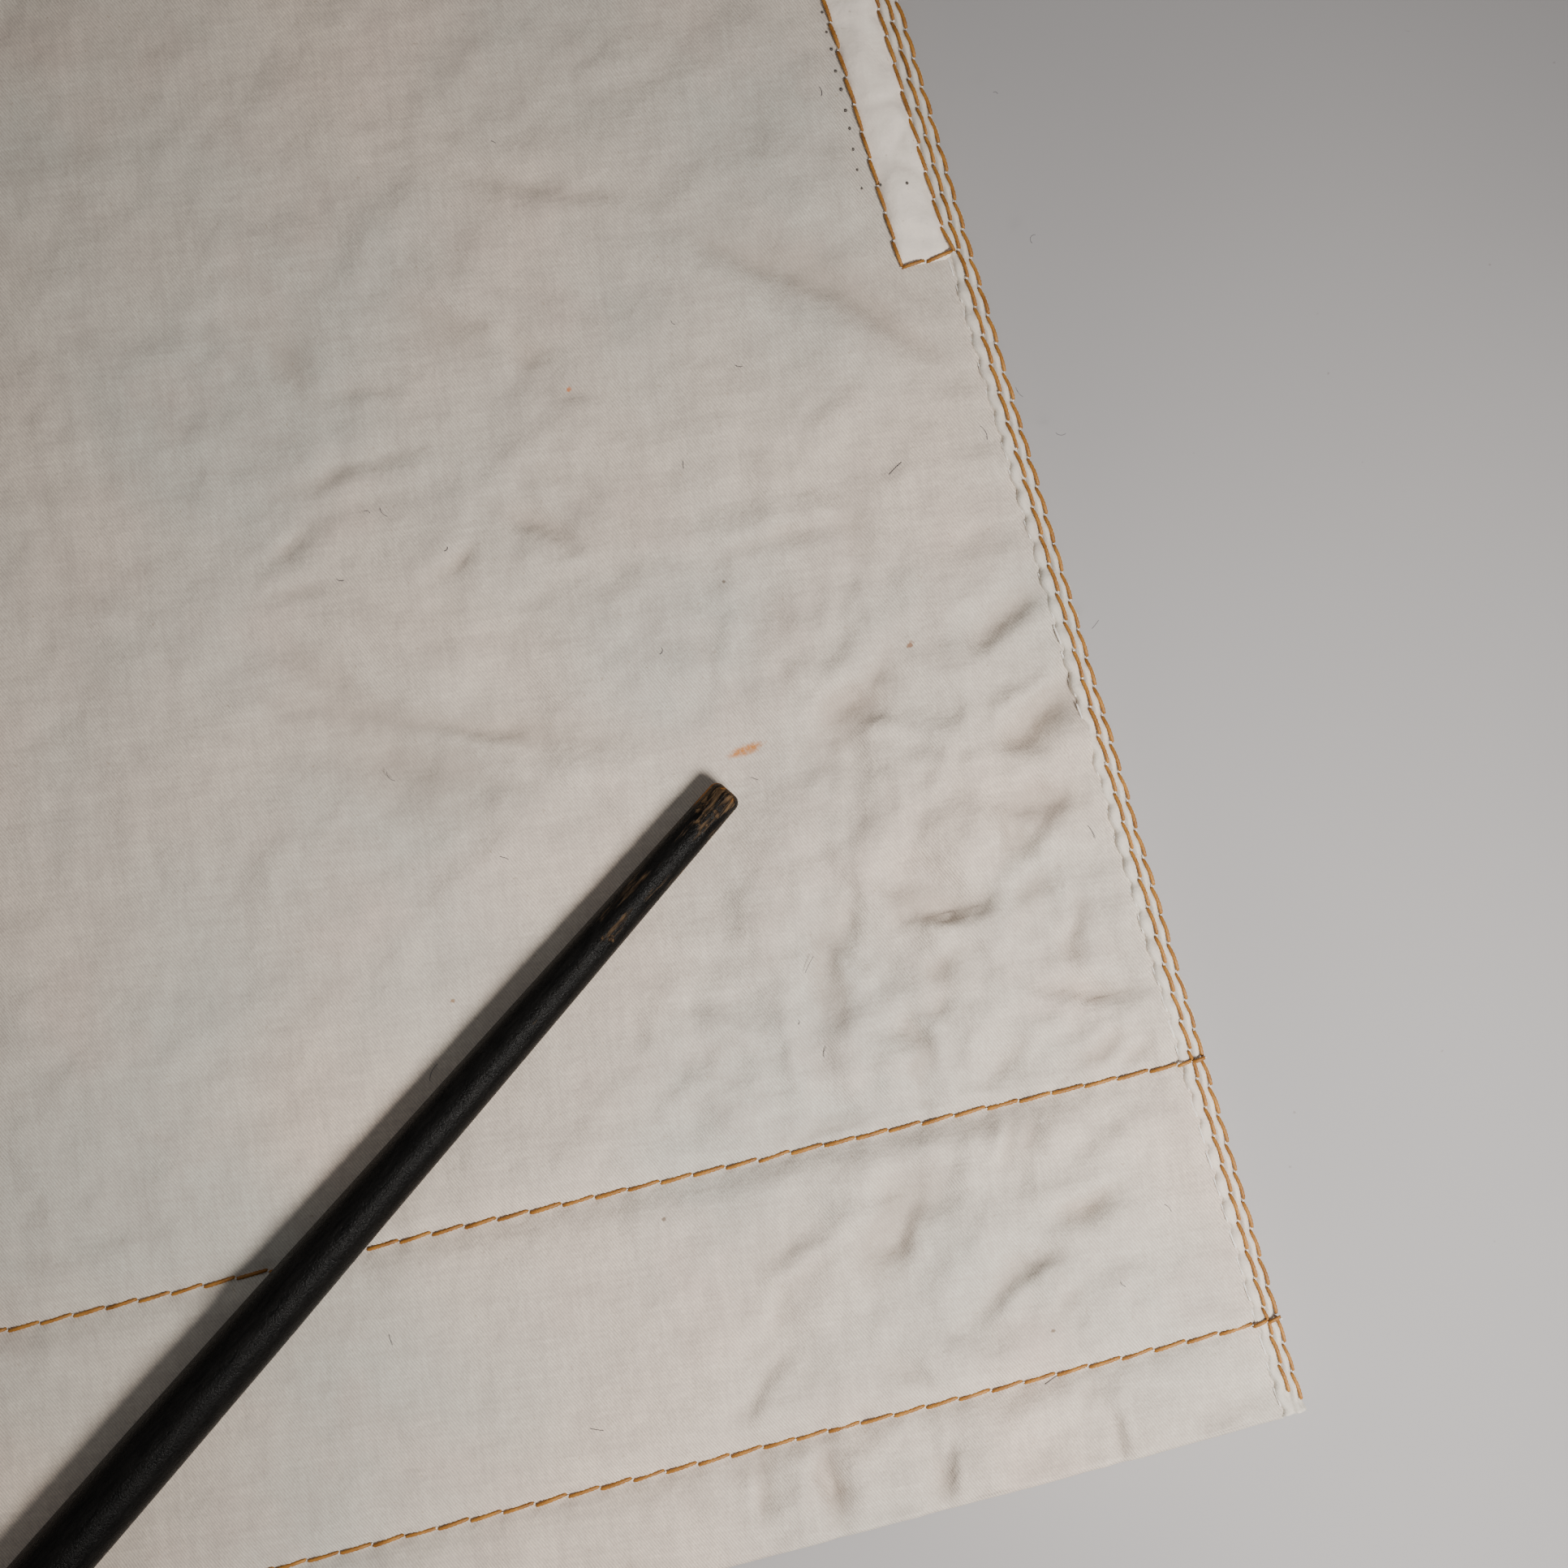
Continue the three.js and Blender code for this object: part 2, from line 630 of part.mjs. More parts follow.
// Turned about its axis from the tip at y = 0, swelling towards the thick end.
function stick() {
  const swell = new THREE.QuadraticBezierCurve(
    new THREE.Vector2(stickBellyRadius, stickBellyAt),
    new THREE.Vector2(stickEndRadius, lerp(stickBellyAt, stickLength, 0.4)),
    new THREE.Vector2(stickEndRadius, stickLength - stickRounding),
  );
  const profile = [
    new THREE.Vector2(0, 0),
    new THREE.Vector2(stickTipRadius - stickRounding, stickRounding * 0.15),
    new THREE.Vector2(stickTipRadius, stickRounding),
    ...swell.getPoints(6),
    new THREE.Vector2(stickEndRadius - stickRounding, stickLength),
    new THREE.Vector2(0, stickLength),
  ];
  return new THREE.LatheGeometry(profile, stickSides);
}

// ---------------------------------------------------------------- materials

const finish = (color, roughness, metalness = 0) =>
  new THREE.MeshStandardMaterial({ color, roughness, metalness });
const cotton = finish(0xd5cfc8, 0.85);
const lining = finish(0xdedad2, 0.9);
const goldThread = finish(0xb5803a, 0.6);
const brass = finish(0xb08a45, 0.35, 1);
const lacquer = finish(0x15130f, 0.3);

// ---------------------------------------------------------------- assembly

const garment = new THREE.Group();

function add(name, geometry, material, parent = garment) {
  const mesh = new THREE.Mesh(geometry, material);
  mesh.name = name;
  parent.add(mesh);
  return mesh;
}

function addPair(name, geometry, material) {
  add("left_" + name, geometry, material);
  add("right_" + name, mirrored(geometry), material);
}

addPair("front_panel", frontPanel, cotton);
addPair("back_panel", backPanel, cotton);
addPair("outseam", outseam, cotton);
addPair("inseam", legSeam, cotton);
addPair("front_hem_facing", hemFacing(innerUpper), cotton);
addPair("back_hem_facing", hemFacing(innerLower), cotton);
addPair("pocket_welt", pocketWelt, cotton);
addPair("pocket_bag", pocketBag(), lining);
addPair("back_pocket", backPocket, cotton);
add("front_rise_seam", frontRiseSeam, cotton);
add("back_rise_seam", backRiseSeam, cotton);

add("waistband_back", waistbandBack(), cotton);
add("waistband_front_left", waistbandLeft, cotton);
add("waistband_front_right", waistbandRight, cotton);
addPair("front_belt_loop", frontLoop(frontLoopX), cotton);
addPair("back_belt_loop", backLoop(backLoopX), cotton);
add("centre_back_belt_loop", backLoop(0), cotton);

add("waist_button", waistButton, brass);
add("button_tack", buttonTack, brass);

add("zip_teeth_left", teethRow(1, 0), brass);
add("zip_teeth_right", teethRow(-1, toothPitch / 2), brass);
add("zip_tape_left", zipTape, lining);
add("zip_tape_right", mirrored(zipTape), lining);
add("zip_bottom_stop", zipStop, brass);
add("zip_slider", zipSlider(), brass);
add("zip_pull_tab", zipTab(), brass);
add("fly_shield", flyShield, cotton);

addPair("outseam_inner_stitching", seamRow(innerRowInset), goldThread);
addPair("outseam_edge_stitching", seamRow(outerRowInset), goldThread);
addPair("hem_upper_stitching", hemRow(hemDepthOuter, hemDepthInner), goldThread);
addPair("hem_lower_stitching", hemRow(hemRowOuter, hemRowInner), goldThread);
addPair("pocket_stitching", weltStitching(), goldThread);
addPair("inseam_stitching", legRow(), goldThread);
add("zip_stitching", zipStitching(), goldThread);
add("rise_stitching_left", riseRow(halfRise - riseRowInset), goldThread);
add("rise_stitching_right", riseRow(riseRowInset - halfRise), goldThread);
const leftBandRow = bandStitching(rowEnd - overlapLeft, bandRowEnd, leftBandFloor);
const rightBandRow = bandStitching(-bandRowEnd, -overlapLeft - rowEnd, () => bandFloor);
add("waistband_stitching_left", leftBandRow, goldThread);
add("waistband_stitching_right", rightBandRow, goldThread);

const stickLie = new THREE.Group();
const stickHeight = frontTop + stickTipClearance + stickTipRadius;
stickLie.position.set(stickTipX, stickTipY, stickHeight);
const along = new THREE.Vector3(Math.cos(stickHeading), Math.sin(stickHeading), Math.tan(stickSlope));
stickLie.quaternion.setFromUnitVectors(new THREE.Vector3(0, 1, 0), along.normalize());
add("stick", stick(), lacquer, stickLie);
garment.add(stickLie);

// The origin is on the table under the centre of everything's footprint.
garment.updateMatrixWorld(true);
const footprint = new THREE.Box3().setFromObject(garment, true).getCenter(new THREE.Vector3());
garment.position.set(-footprint.x, -footprint.y, 0);

export default garment;
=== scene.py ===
"""Cotton shorts laid flat with a lacquered stick on them: cloth, stitching, brass, table, light and camera.

Shapes are drawn in millimetres with y = 0 at the crotch, as the CAD part draws them; world() turns them into
the frame's metres. The left leg's outer hem corner is where the camera looks.
"""
import math

import bpy
import numpy as np
from mathutils import Matrix, Vector

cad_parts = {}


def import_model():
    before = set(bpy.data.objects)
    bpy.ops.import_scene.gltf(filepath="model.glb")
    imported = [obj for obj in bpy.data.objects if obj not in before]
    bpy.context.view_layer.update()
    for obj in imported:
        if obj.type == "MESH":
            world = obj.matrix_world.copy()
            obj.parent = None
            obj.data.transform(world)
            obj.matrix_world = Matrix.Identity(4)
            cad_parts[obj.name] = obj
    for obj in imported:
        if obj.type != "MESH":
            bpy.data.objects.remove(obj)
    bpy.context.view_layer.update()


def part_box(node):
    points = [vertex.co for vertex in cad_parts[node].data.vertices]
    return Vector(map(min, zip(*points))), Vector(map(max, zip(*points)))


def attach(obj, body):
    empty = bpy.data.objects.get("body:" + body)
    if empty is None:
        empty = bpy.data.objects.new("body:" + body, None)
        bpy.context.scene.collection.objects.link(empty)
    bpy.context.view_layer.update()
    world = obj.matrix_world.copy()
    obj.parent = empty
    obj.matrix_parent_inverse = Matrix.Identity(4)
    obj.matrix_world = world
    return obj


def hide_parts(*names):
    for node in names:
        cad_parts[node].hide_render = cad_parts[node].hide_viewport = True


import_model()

MM = 0.001
GAP = 0.3  # clearance between the CAD's touching pieces


def box_mm(*nodes):
    """The lowest and highest corner of the nodes together, in millimetres."""
    corners = [[np.array(corner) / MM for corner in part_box(node)] for node in nodes]
    return np.min([low for low, _ in corners], axis=0), np.max([high for _, high in corners], axis=0)


# ------------------------------------------------------------------ sizes taken from the frame

CROTCH = box_mm("back_rise_seam")[0][1] - GAP
HEM_REACH = box_mm("left_outseam")[1][0]
FRONT_TOP = box_mm("left_outseam")[1][2]
INSEAM = CROTCH - box_mm("left_inseam")[0][1]
RISE = box_mm("waistband_back")[0][1] - CROTCH
BAND_TOP = box_mm("waistband_back")[1][1] - CROTCH
WAIST_HALF = box_mm("waistband_back")[1][0]

# ------------------------------------------------------------------ sizes repeated from the CAD part

HEM_LIFT = 36
LEAN = math.radians(8.4)
STRAIGHT = 170
HIP_PULL = 70
LEG_GAP_TOP, LEG_GAP_HEM = 2, 18
SEAM_WIDTH = 2.8
RISE_SEAM_WIDTH = 6
INNER_ROW, OUTER_ROW = 1.6, 0.45
HEM_UPPER = (41, 52)  # rows above the hem's edge, at the side seam and at the leg seam
HEM_LOWER = (11, 16)
FACING = 3
WELT_INNER, WELT_OUTER = 8.7, 2.3
POCKET_FOOT, POCKET_HEAD = 62, 8
ZIP_FOOT, ZIP_EDGE, ZIP_WIDTH = 105, 4.2, 15.7
ZIP_RISE, ZIP_FADE = 1.1, 26
BACK_POCKET_POINT = 16
CLIMB_START, CLIMB_END, CLIMB_RISE = 24.3, 62, 1.6  # the left front band climbs over the right one
STITCH_SEAM, STITCH_HEM, STITCH_POCKET, STITCH_DITCH = 3.3, 3.7, 3.1, 3.0

HEM_Y = HEM_LIFT - INSEAM
CORNER = np.array([HEM_REACH, HEM_Y])  # the left leg's outer hem corner


def world(points):
    """Drawing millimetres to frame metres."""
    return (np.asarray(points, float) + (0, CROTCH, 0)) * MM


# ------------------------------------------------------------------ numbers

def smooth(x, low, high):
    t = np.clip((np.asarray(x, float) - low) / (high - low), 0, 1)
    return t * t * (3 - 2 * t)


def noise(x, y, seed=0):
    """Gradient noise of unit cell, about -0.7 to 0.7."""
    x, y = np.asarray(x, float), np.asarray(y, float)
    column, row = np.floor(x), np.floor(y)
    fx, fy = x - column, y - row

    def corner(i, j):
        spin = np.sin((column + i) * 127.1 + (row + j) * 311.7 + seed * 74.7) * 43758.5453
        angle = 2 * math.pi * (spin - np.floor(spin))
        return np.cos(angle) * (fx - i) + np.sin(angle) * (fy - j)

    u, v = fx * fx * fx * (fx * (fx * 6 - 15) + 10), fy * fy * fy * (fy * (fy * 6 - 15) + 10)
    low = corner(0, 0) * (1 - u) + corner(1, 0) * u
    high = corner(0, 1) * (1 - u) + corner(1, 1) * u
    return low * (1 - v) + high * v


def ridged(x, y, seed=0):
    """Facets with sharp lines between them, about -0.5 to 0.25."""
    return 0.25 - np.abs(noise(x, y, seed))


def bump(distance, width):
    return np.exp(-((distance / width) ** 2))


def graded(start, stop, spacing):
    """Points from start to stop whose spacing follows spacing(position)."""
    points = [start]
    while points[-1] < stop:
        points.append(points[-1] + spacing(points[-1]))
    points = np.array(points)
    return start + (points - start) * (stop - start) / (points[-1] - start)


# ------------------------------------------------------------------ the shorts' outline

HIP = [
    CORNER + STRAIGHT * np.array([-math.sin(LEAN), math.cos(LEAN)]),
    CORNER + (STRAIGHT + HIP_PULL) * np.array([-math.sin(LEAN), math.cos(LEAN)]),
    np.array([WAIST_HALF, RISE]),
]


def outer_x(y):
    """The side edge: straight up from the hem, then the hip's curve."""
    y = np.asarray(y, float)
    straight = HEM_REACH - (y - HEM_Y) * math.tan(LEAN)
    (x0, y0), (x1, y1), (x2, y2) = HIP
    a, b = y0 - 2 * y1 + y2, 2 * (y1 - y0)
    t = (-b + np.sqrt(np.maximum(b * b - 4 * a * (y0 - y), 0))) / (2 * a)
    return np.where(y < y0, straight, x0 * (1 - t) ** 2 + 2 * x1 * t * (1 - t) + x2 * t * t)


def inner_x(y):
    """The inner edge: the leg's inside below the crotch, the centre line above it."""
    y = np.asarray(y, float)
    return np.where(y < 0, (LEG_GAP_TOP + (LEG_GAP_HEM - LEG_GAP_TOP) * -y / INSEAM) / 2, 0)


def leg_name(side):
    """The start of a leg's piece names; side is 1 for the wearer's left and -1 for the right."""
    return "left_" if side > 0 else "right_"


def hem_line(x, depths=(0, 0)):
    """Where a cross row stands that lies these depths above the hem's edge, outside and inside."""
    share = (np.asarray(x, float) - LEG_GAP_HEM / 2) / (HEM_REACH - LEG_GAP_HEM / 2)
    return (depths[1] - INSEAM) * (1 - share) + (HEM_Y + depths[0]) * share


ROW_OUTER = [HEM_Y, HEM_Y + HEM_LOWER[0], HEM_Y + HEM_UPPER[0], RISE]
ROW_INNER = [-INSEAM, -INSEAM + HEM_LOWER[1], -INSEAM + HEM_UPPER[1], RISE]


def row_tilt(y):
    """How much a cross row falls towards the centre, per millimetre."""
    y = np.asarray(y, float)
    inner = np.interp(y, ROW_OUTER, ROW_INNER)
    return (y - inner) / (outer_x(y) - inner_x(inner))


def side_point(y, inset):
    """A point this far in from the side edge, along the cross row that meets the edge at y."""
    return outer_x(y) - inset, y - row_tilt(y) * inset


# ------------------------------------------------------------------ meshes

def new_object(name, points, faces, material):
    """A smooth-shaded object; points in metres, faces as an array or as lists of any length."""
    faces = faces.tolist() if isinstance(faces, np.ndarray) else [[int(i) for i in face] for face in faces]
    mesh = bpy.data.meshes.new(name)
    mesh.from_pydata(points.tolist(), [], faces)
    mesh.polygons.foreach_set("use_smooth", np.ones(len(mesh.polygons), bool))
    mesh.materials.append(material)
    mesh.update()
    piece = bpy.data.objects.new(name, mesh)
    bpy.context.scene.collection.objects.link(piece)
    return piece


def fix(piece, nodes=(), body="shorts"):
    """Puts a piece on its body, in place of the CAD nodes that it refines."""
    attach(piece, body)
    if nodes:
        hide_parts(*nodes)
    return piece


def add_mesh(name, points, faces, material, nodes=()):
    return fix(new_object(name, world(points), faces, material), nodes)


def grid_faces(rows, columns, flip=False, closed=False):
    """Quads of a grid of points; closed joins each row's last point to its first."""
    index = np.arange(rows * columns).reshape(rows, columns)
    right = np.roll(index, -1, axis=1) if closed else index[:, 1:]
    left = index if closed else index[:, :-1]
    quads = np.stack([left[:-1], right[:-1], right[1:], left[1:]], axis=-1).reshape(-1, 4)
    return quads[:, ::-1] if flip else quads


def tube_faces(rows, columns, flip=False, start=0):
    """The faces of a closed tube of rings, capped at both ends; start is its first point's number."""
    first = list(range(columns))
    last = list(range((rows - 1) * columns, rows * columns))
    caps = [first, last[::-1]] if flip else [first[::-1], last]
    faces = grid_faces(rows, columns, flip, closed=True).tolist() + caps
    return [[i + start for i in face] for face in faces]


def grid_mesh(name, grid, material, flip, nodes):
    """An open sheet over a grid of points."""
    return add_mesh(name, grid.reshape(-1, 3), grid_faces(*grid.shape[:2], flip), material, nodes)


def loft_mesh(name, sections, material, nodes, flip):
    """A closed tube of soft cross-sections."""
    rows, columns = sections.shape[:2]
    return add_mesh(name, sections.reshape(-1, 3), tube_faces(rows, columns, flip), material, nodes)


RIM_DROP = 0.5  # the share of a slab's thickness that each face gives up at the rim
RIM_SHOULDER = 0.125  # and one row further in


def pad_mesh(name, plan, top, bottom, material, nodes):
    """A thin soft slab over a plan grid, its rim rounded, as one closed mesh."""
    rows, columns = plan.shape[:2]
    top, bottom = np.broadcast_to(top, (rows, columns)), np.broadcast_to(bottom, (rows, columns))
    from_rim = np.minimum(
        np.minimum(np.arange(rows), np.arange(rows)[::-1])[:, None],
        np.minimum(np.arange(columns), np.arange(columns)[::-1])[None, :],
    )
    squeeze = np.select([from_rim == 0, from_rim == 1], [RIM_DROP, RIM_SHOULDER], 0)
    thick = top - bottom
    upper, lower = np.dstack([plan, top - thick * squeeze]), np.dstack([plan, bottom + thick * squeeze])
    points = np.concatenate([upper.reshape(-1, 3), lower.reshape(-1, 3)])
    index = np.arange(rows * columns).reshape(rows, columns)
    rim = np.concatenate([index[0], index[1:, -1], index[-1, -2::-1], index[-2:0:-1, 0]])
    after = np.roll(rim, -1)
    below = rows * columns
    walls = np.stack([rim + below, after + below, after, rim], axis=-1)
    faces = np.concatenate([grid_faces(rows, columns), grid_faces(rows, columns, True) + below, walls])
    (ax, ay), (bx, by), (cx, cy) = plan[0, 0], plan[0, 1], plan[1, 0]
    if (bx - ax) * (cy - ay) - (by - ay) * (cx - ax) < 0:
        faces = faces[:, ::-1]
    return add_mesh(name, points, faces, material, nodes)


# ------------------------------------------------------------------ materials

class Nodes:
    """A short way to write a shader tree."""

    def __init__(self, name):
        self.material = bpy.data.materials.new(name)
        self.material.use_nodes = True
        self.tree = self.material.node_tree
        self.shader = self.tree.nodes["Principled BSDF"]

    def add(self, kind, inputs=(), **settings):
        node = self.tree.nodes.new(kind)
        for key, value in settings.items():
            setattr(node, key, value)
        for key, value in dict(inputs).items():
            if isinstance(value, bpy.types.NodeSocket):
                self.tree.links.new(value, node.inputs[key])
            else:
                node.inputs[key].default_value = value
        return node

    def link(self, source, socket):
        self.tree.links.new(source, self.shader.inputs[socket])

    def set(self, **values):
        for key, value in values.items():
            self.shader.inputs[key.replace("_", " ")].default_value = value

    def place(self):
        return self.add("ShaderNodeTexCoord").outputs["Object"]

    def noise(self, scale, detail=2, roughness=0.5, vector=None, distortion=0):
        inputs = {"Vector": vector or self.place(), "Scale": scale, "Detail": detail, "Roughness": roughness}
        inputs["Distortion"] = distortion
        return self.add("ShaderNodeTexNoise", inputs).outputs["Fac"]

    def map(self, value, low, high, to_low=0.0, to_high=1.0):
        inputs = {"Value": value, "From Min": low, "From Max": high, "To Min": to_low, "To Max": to_high}
        return self.add("ShaderNodeMapRange", inputs).outputs["Result"]

    def mix(self, factor, a, b):
        node = self.add("ShaderNodeMix", data_type="RGBA")
        for socket, value in zip((node.inputs["Factor"], node.inputs[6], node.inputs[7]), (factor, a, b)):
            if isinstance(value, bpy.types.NodeSocket):
                self.tree.links.new(value, socket)
            else:
                socket.default_value = value
        return node.outputs[2]

    def math(self, operation, a, b=0.0, c=0.0):
        node = self.add("ShaderNodeMath", operation=operation)
        for i, value in enumerate((a, b, c)):
            if isinstance(value, bpy.types.NodeSocket):
                self.tree.links.new(value, node.inputs[i])
            else:
                node.inputs[i].default_value = value
        return node.outputs[0]

    def dot(self, vector, direction):
        node = self.add("ShaderNodeVectorMath", {0: vector, 1: direction}, operation="DOT_PRODUCT")
        return node.outputs["Value"]

    def stretch(self, vector, scale):
        return self.add("ShaderNodeMapping", {"Vector": vector, "Scale": scale}).outputs[0]

    def attribute(self, name):
        return self.add("ShaderNodeAttribute", attribute_name=name).outputs["Fac"]

    def bump(self, height, distance, strength=1.0, normal=None):
        inputs = {"Height": height, "Distance": distance, "Strength": strength}
        if normal is not None:
            inputs["Normal"] = normal
        return self.add("ShaderNodeBump", inputs).outputs["Normal"]


def rgb(red, green, blue):
    """sRGB 0-255 to a linear colour."""
    values = [v / 255 for v in (red, green, blue)]
    return (*[v / 12.92 if v <= 0.04045 else ((v + 0.055) / 1.055) ** 2.4 for v in values], 1)


TWILL = math.radians(-57.7)  # the direction of the diagonal ribs in plan
TWILL_PITCH = 0.29 * MM


def wales(tree, place, direction, pitch, wander):
    """Fine parallel ribs, from -1 to 1, that wander a little."""
    across = tree.dot(place, (-math.sin(direction), math.cos(direction), 0))
    shift = tree.math("MULTIPLY", tree.noise(900, 1, vector=place), wander * MM)
    turns = tree.math("MULTIPLY", tree.math("ADD", across, shift), 2 * math.pi / pitch)
    return tree.math("SINE", turns)


def mark(tree, place, centre, length, width, angle, ragged=0.35):
    """1 inside a small ragged-edged mark on the cloth, 0 outside. Millimetres, in the drawing's plan."""
    x, y = world([*centre, 0])[:2]
    moved = tree.add("ShaderNodeVectorMath", {0: place, 1: (x, y, 0)}, operation="SUBTRACT").outputs[0]
    cos, sin = math.cos(angle), math.sin(angle)
    u = tree.math("MULTIPLY", tree.dot(moved, (cos, sin, 0)), 2 / (length * MM))
    v = tree.math("MULTIPLY", tree.dot(moved, (-sin, cos, 0)), 2 / (width * MM))
    away = tree.math("SQRT", tree.math("ADD", tree.math("MULTIPLY", u, u), tree.math("MULTIPLY", v, v)))
    edge = tree.math("ADD", away, tree.map(tree.noise(2600, 2, vector=place), 0.3, 0.7, -ragged, ragged))
    return tree.map(edge, 1.15, 0.55)


LIGHT, COOL, WARM = rgb(234, 218, 201), rgb(212, 208, 196), rgb(228, 206, 192)


def cotton(name, light=LIGHT, cool=COOL, warm=WARM, twill=1.0, shade=0.5, marks=()):
    """Off-white twill: diagonal ribs with painted shade in their grooves, slubs, soft colour drift, patches
    of painted shade, painted shade in the creases, crumples, and any marks on it.
    """
    tree = Nodes(name)
    place = tree.place()
    drift = tree.map(tree.noise(26, 2, vector=place), 0.35, 0.65)
    colour = tree.mix(drift, cool, light)
    colour = tree.mix(tree.map(tree.noise(60, 3, 0.6, vector=place), 0.52, 0.75, 0, 0.55), colour, warm)
    rib = wales(tree, place, TWILL, TWILL_PITCH, 0.12)
    yarn = tree.noise(3600, 2, 0.6, vector=place)
    warp, weft = tree.stretch(place, (1, 0.07, 1)), tree.stretch(place, (0.07, 1, 1))
    slubs = tree.math("ADD", tree.noise(1700, 2, 0.6, vector=warp), tree.noise(1700, 2, 0.6, vector=weft))
    slubs = tree.map(slubs, 0.8, 1.2, 0, 0.3 * twill)
    relief = tree.math("ADD", tree.math("MULTIPLY", rib, 0.32 * twill), yarn)
    # Painted shade: the cloth darkens where the ribs and yarns sink; shade sets how much.
    colour = tree.mix(tree.map(relief, 0.1, 0.95, shade, 0.0), colour, rgb(140, 128, 120))
    colour = tree.mix(slubs, colour, rgb(170, 158, 150))
    fleck = tree.map(tree.noise(1500, 2, 0.7, vector=place), 0.69, 0.74, 0, 0.35)
    colour = tree.mix(fleck, colour, rgb(150, 128, 104))
    # Painted shade: soft darker patches of pinkish grey, for the mottled shading of small crinkles.
    painted_shade_patches = tree.map(tree.noise(105, 4, 0.65, vector=place, distortion=0.8), 0.46, 0.7, 0, 0.2)
    colour = tree.mix(painted_shade_patches, colour, rgb(164, 148, 142))
    # Painted shade: the twill is tinted darker in the creases' grooves, for the shade that falls there.
    painted_crease_shade = tree.math("MULTIPLY", tree.attribute("painted_crease_shade"), 0.42)
    colour = tree.mix(painted_crease_shade, colour, rgb(158, 142, 130))
    for factor, tint in (make(tree, place) for make in marks):
        colour = tree.mix(factor, colour, tint)
    tree.link(colour, "Base Color")
    tree.set(Roughness=0.86, Sheen_Weight=0.12, Sheen_Roughness=0.5, Specular_IOR_Level=0.25)
    inputs = {"Vector": place, "Scale": 95, "Detail": 5, "Roughness": 0.62, "Distortion": 0.5}
    wrinkles = tree.add("ShaderNodeTexNoise", inputs, noise_type="RIDGED_MULTIFRACTAL").outputs["Fac"]
    crumpled = tree.math("MULTIPLY_ADD", tree.attribute("crumple"), 0.7, 0.3)
    amount = tree.math("MULTIPLY", wrinkles, crumpled)
    creased = tree.bump(amount, 1.3 * MM, 0.8)
    cloudy = tree.bump(tree.noise(420, 3, 0.55, vector=place), 0.3 * MM, 0.8, creased)
    weave = tree.math("ADD", tree.math("MULTIPLY", rib, 0.5 * twill), yarn)
    tree.link(tree.bump(weave, 0.045 * MM, 0.7, cloudy), "Normal")
    return tree.material


def stain(tree, place):
    factor = mark(tree, place, CORNER + (-52.1, 81.2), 4.3, 1.25, math.radians(12.9), 0.18)
    broken = tree.map(tree.noise(2400, 2, 0.6, vector=place), 0.38, 0.6, 0.6, 0.95)
    return tree.math("MULTIPLY", factor, broken), rgb(186, 118, 52)


def spot(offset, size, tint, strength=0.8):
    def make(tree, place):
        factor = mark(tree, place, CORNER + offset, size, size * 0.8, 0.4)
        return tree.math("MULTIPLY", factor, strength), tint
    return make


SPOTS = [
    spot((-32.5, 90.3), 0.9, rgb(138, 92, 60)),
    spot((-66.2, 123.4), 0.7, rgb(206, 120, 60)),
    spot((-52, 100), 0.5, rgb(110, 95, 84)),
    spot((-68, 31), 0.6, rgb(120, 100, 84)),
    spot((-27, 13), 0.5, rgb(120, 100, 84)),
    spot((-88, 58), 0.6, rgb(150, 118, 88)),
]


def golden_thread():
    tree = Nodes("golden_thread")
    place = tree.place()
    drift = tree.map(tree.noise(500, 2, vector=place), 0.3, 0.7)
    colour = tree.mix(drift, rgb(126, 78, 20), rgb(168, 114, 42))
    fibre = tree.noise(9000, 1, vector=place)
    colour = tree.mix(tree.map(fibre, 0.55, 0.8, 0, 0.4), colour, rgb(222, 170, 92))
    tree.link(colour, "Base Color")
    tree.set(Roughness=0.5, Sheen_Weight=0.25, Sheen_Roughness=0.35, Specular_IOR_Level=0.4)
    tree.link(tree.bump(fibre, 0.03 * MM, 0.6), "Normal")
    return tree.material


def pale_thread():
    tree = Nodes("bobbin_thread")
    fibre = tree.noise(9000, 1)
    tree.link(tree.mix(fibre, rgb(216, 208, 198), rgb(240, 236, 230)), "Base Color")
    tree.set(Roughness=0.7, Sheen_Weight=0.2)
    tree.link(tree.bump(fibre, 0.03 * MM, 0.5), "Normal")
    return tree.material


def brass():
    tree = Nodes("antique_brass")
    place = tree.place()
    tarnish = tree.map(tree.noise(260, 4, 0.6, vector=place), 0.42, 0.68)
    tree.link(tree.mix(tarnish, rgb(198, 158, 92), rgb(140, 100, 52)), "Base Color")
    tree.link(tree.map(tarnish, 0, 1, 0.24, 0.48), "Roughness")
    tree.set(Metallic=1.0)
    tree.link(tree.bump(tree.noise(3000, 2, 0.7, vector=place), 0.02 * MM, 0.4), "Normal")
    return tree.material


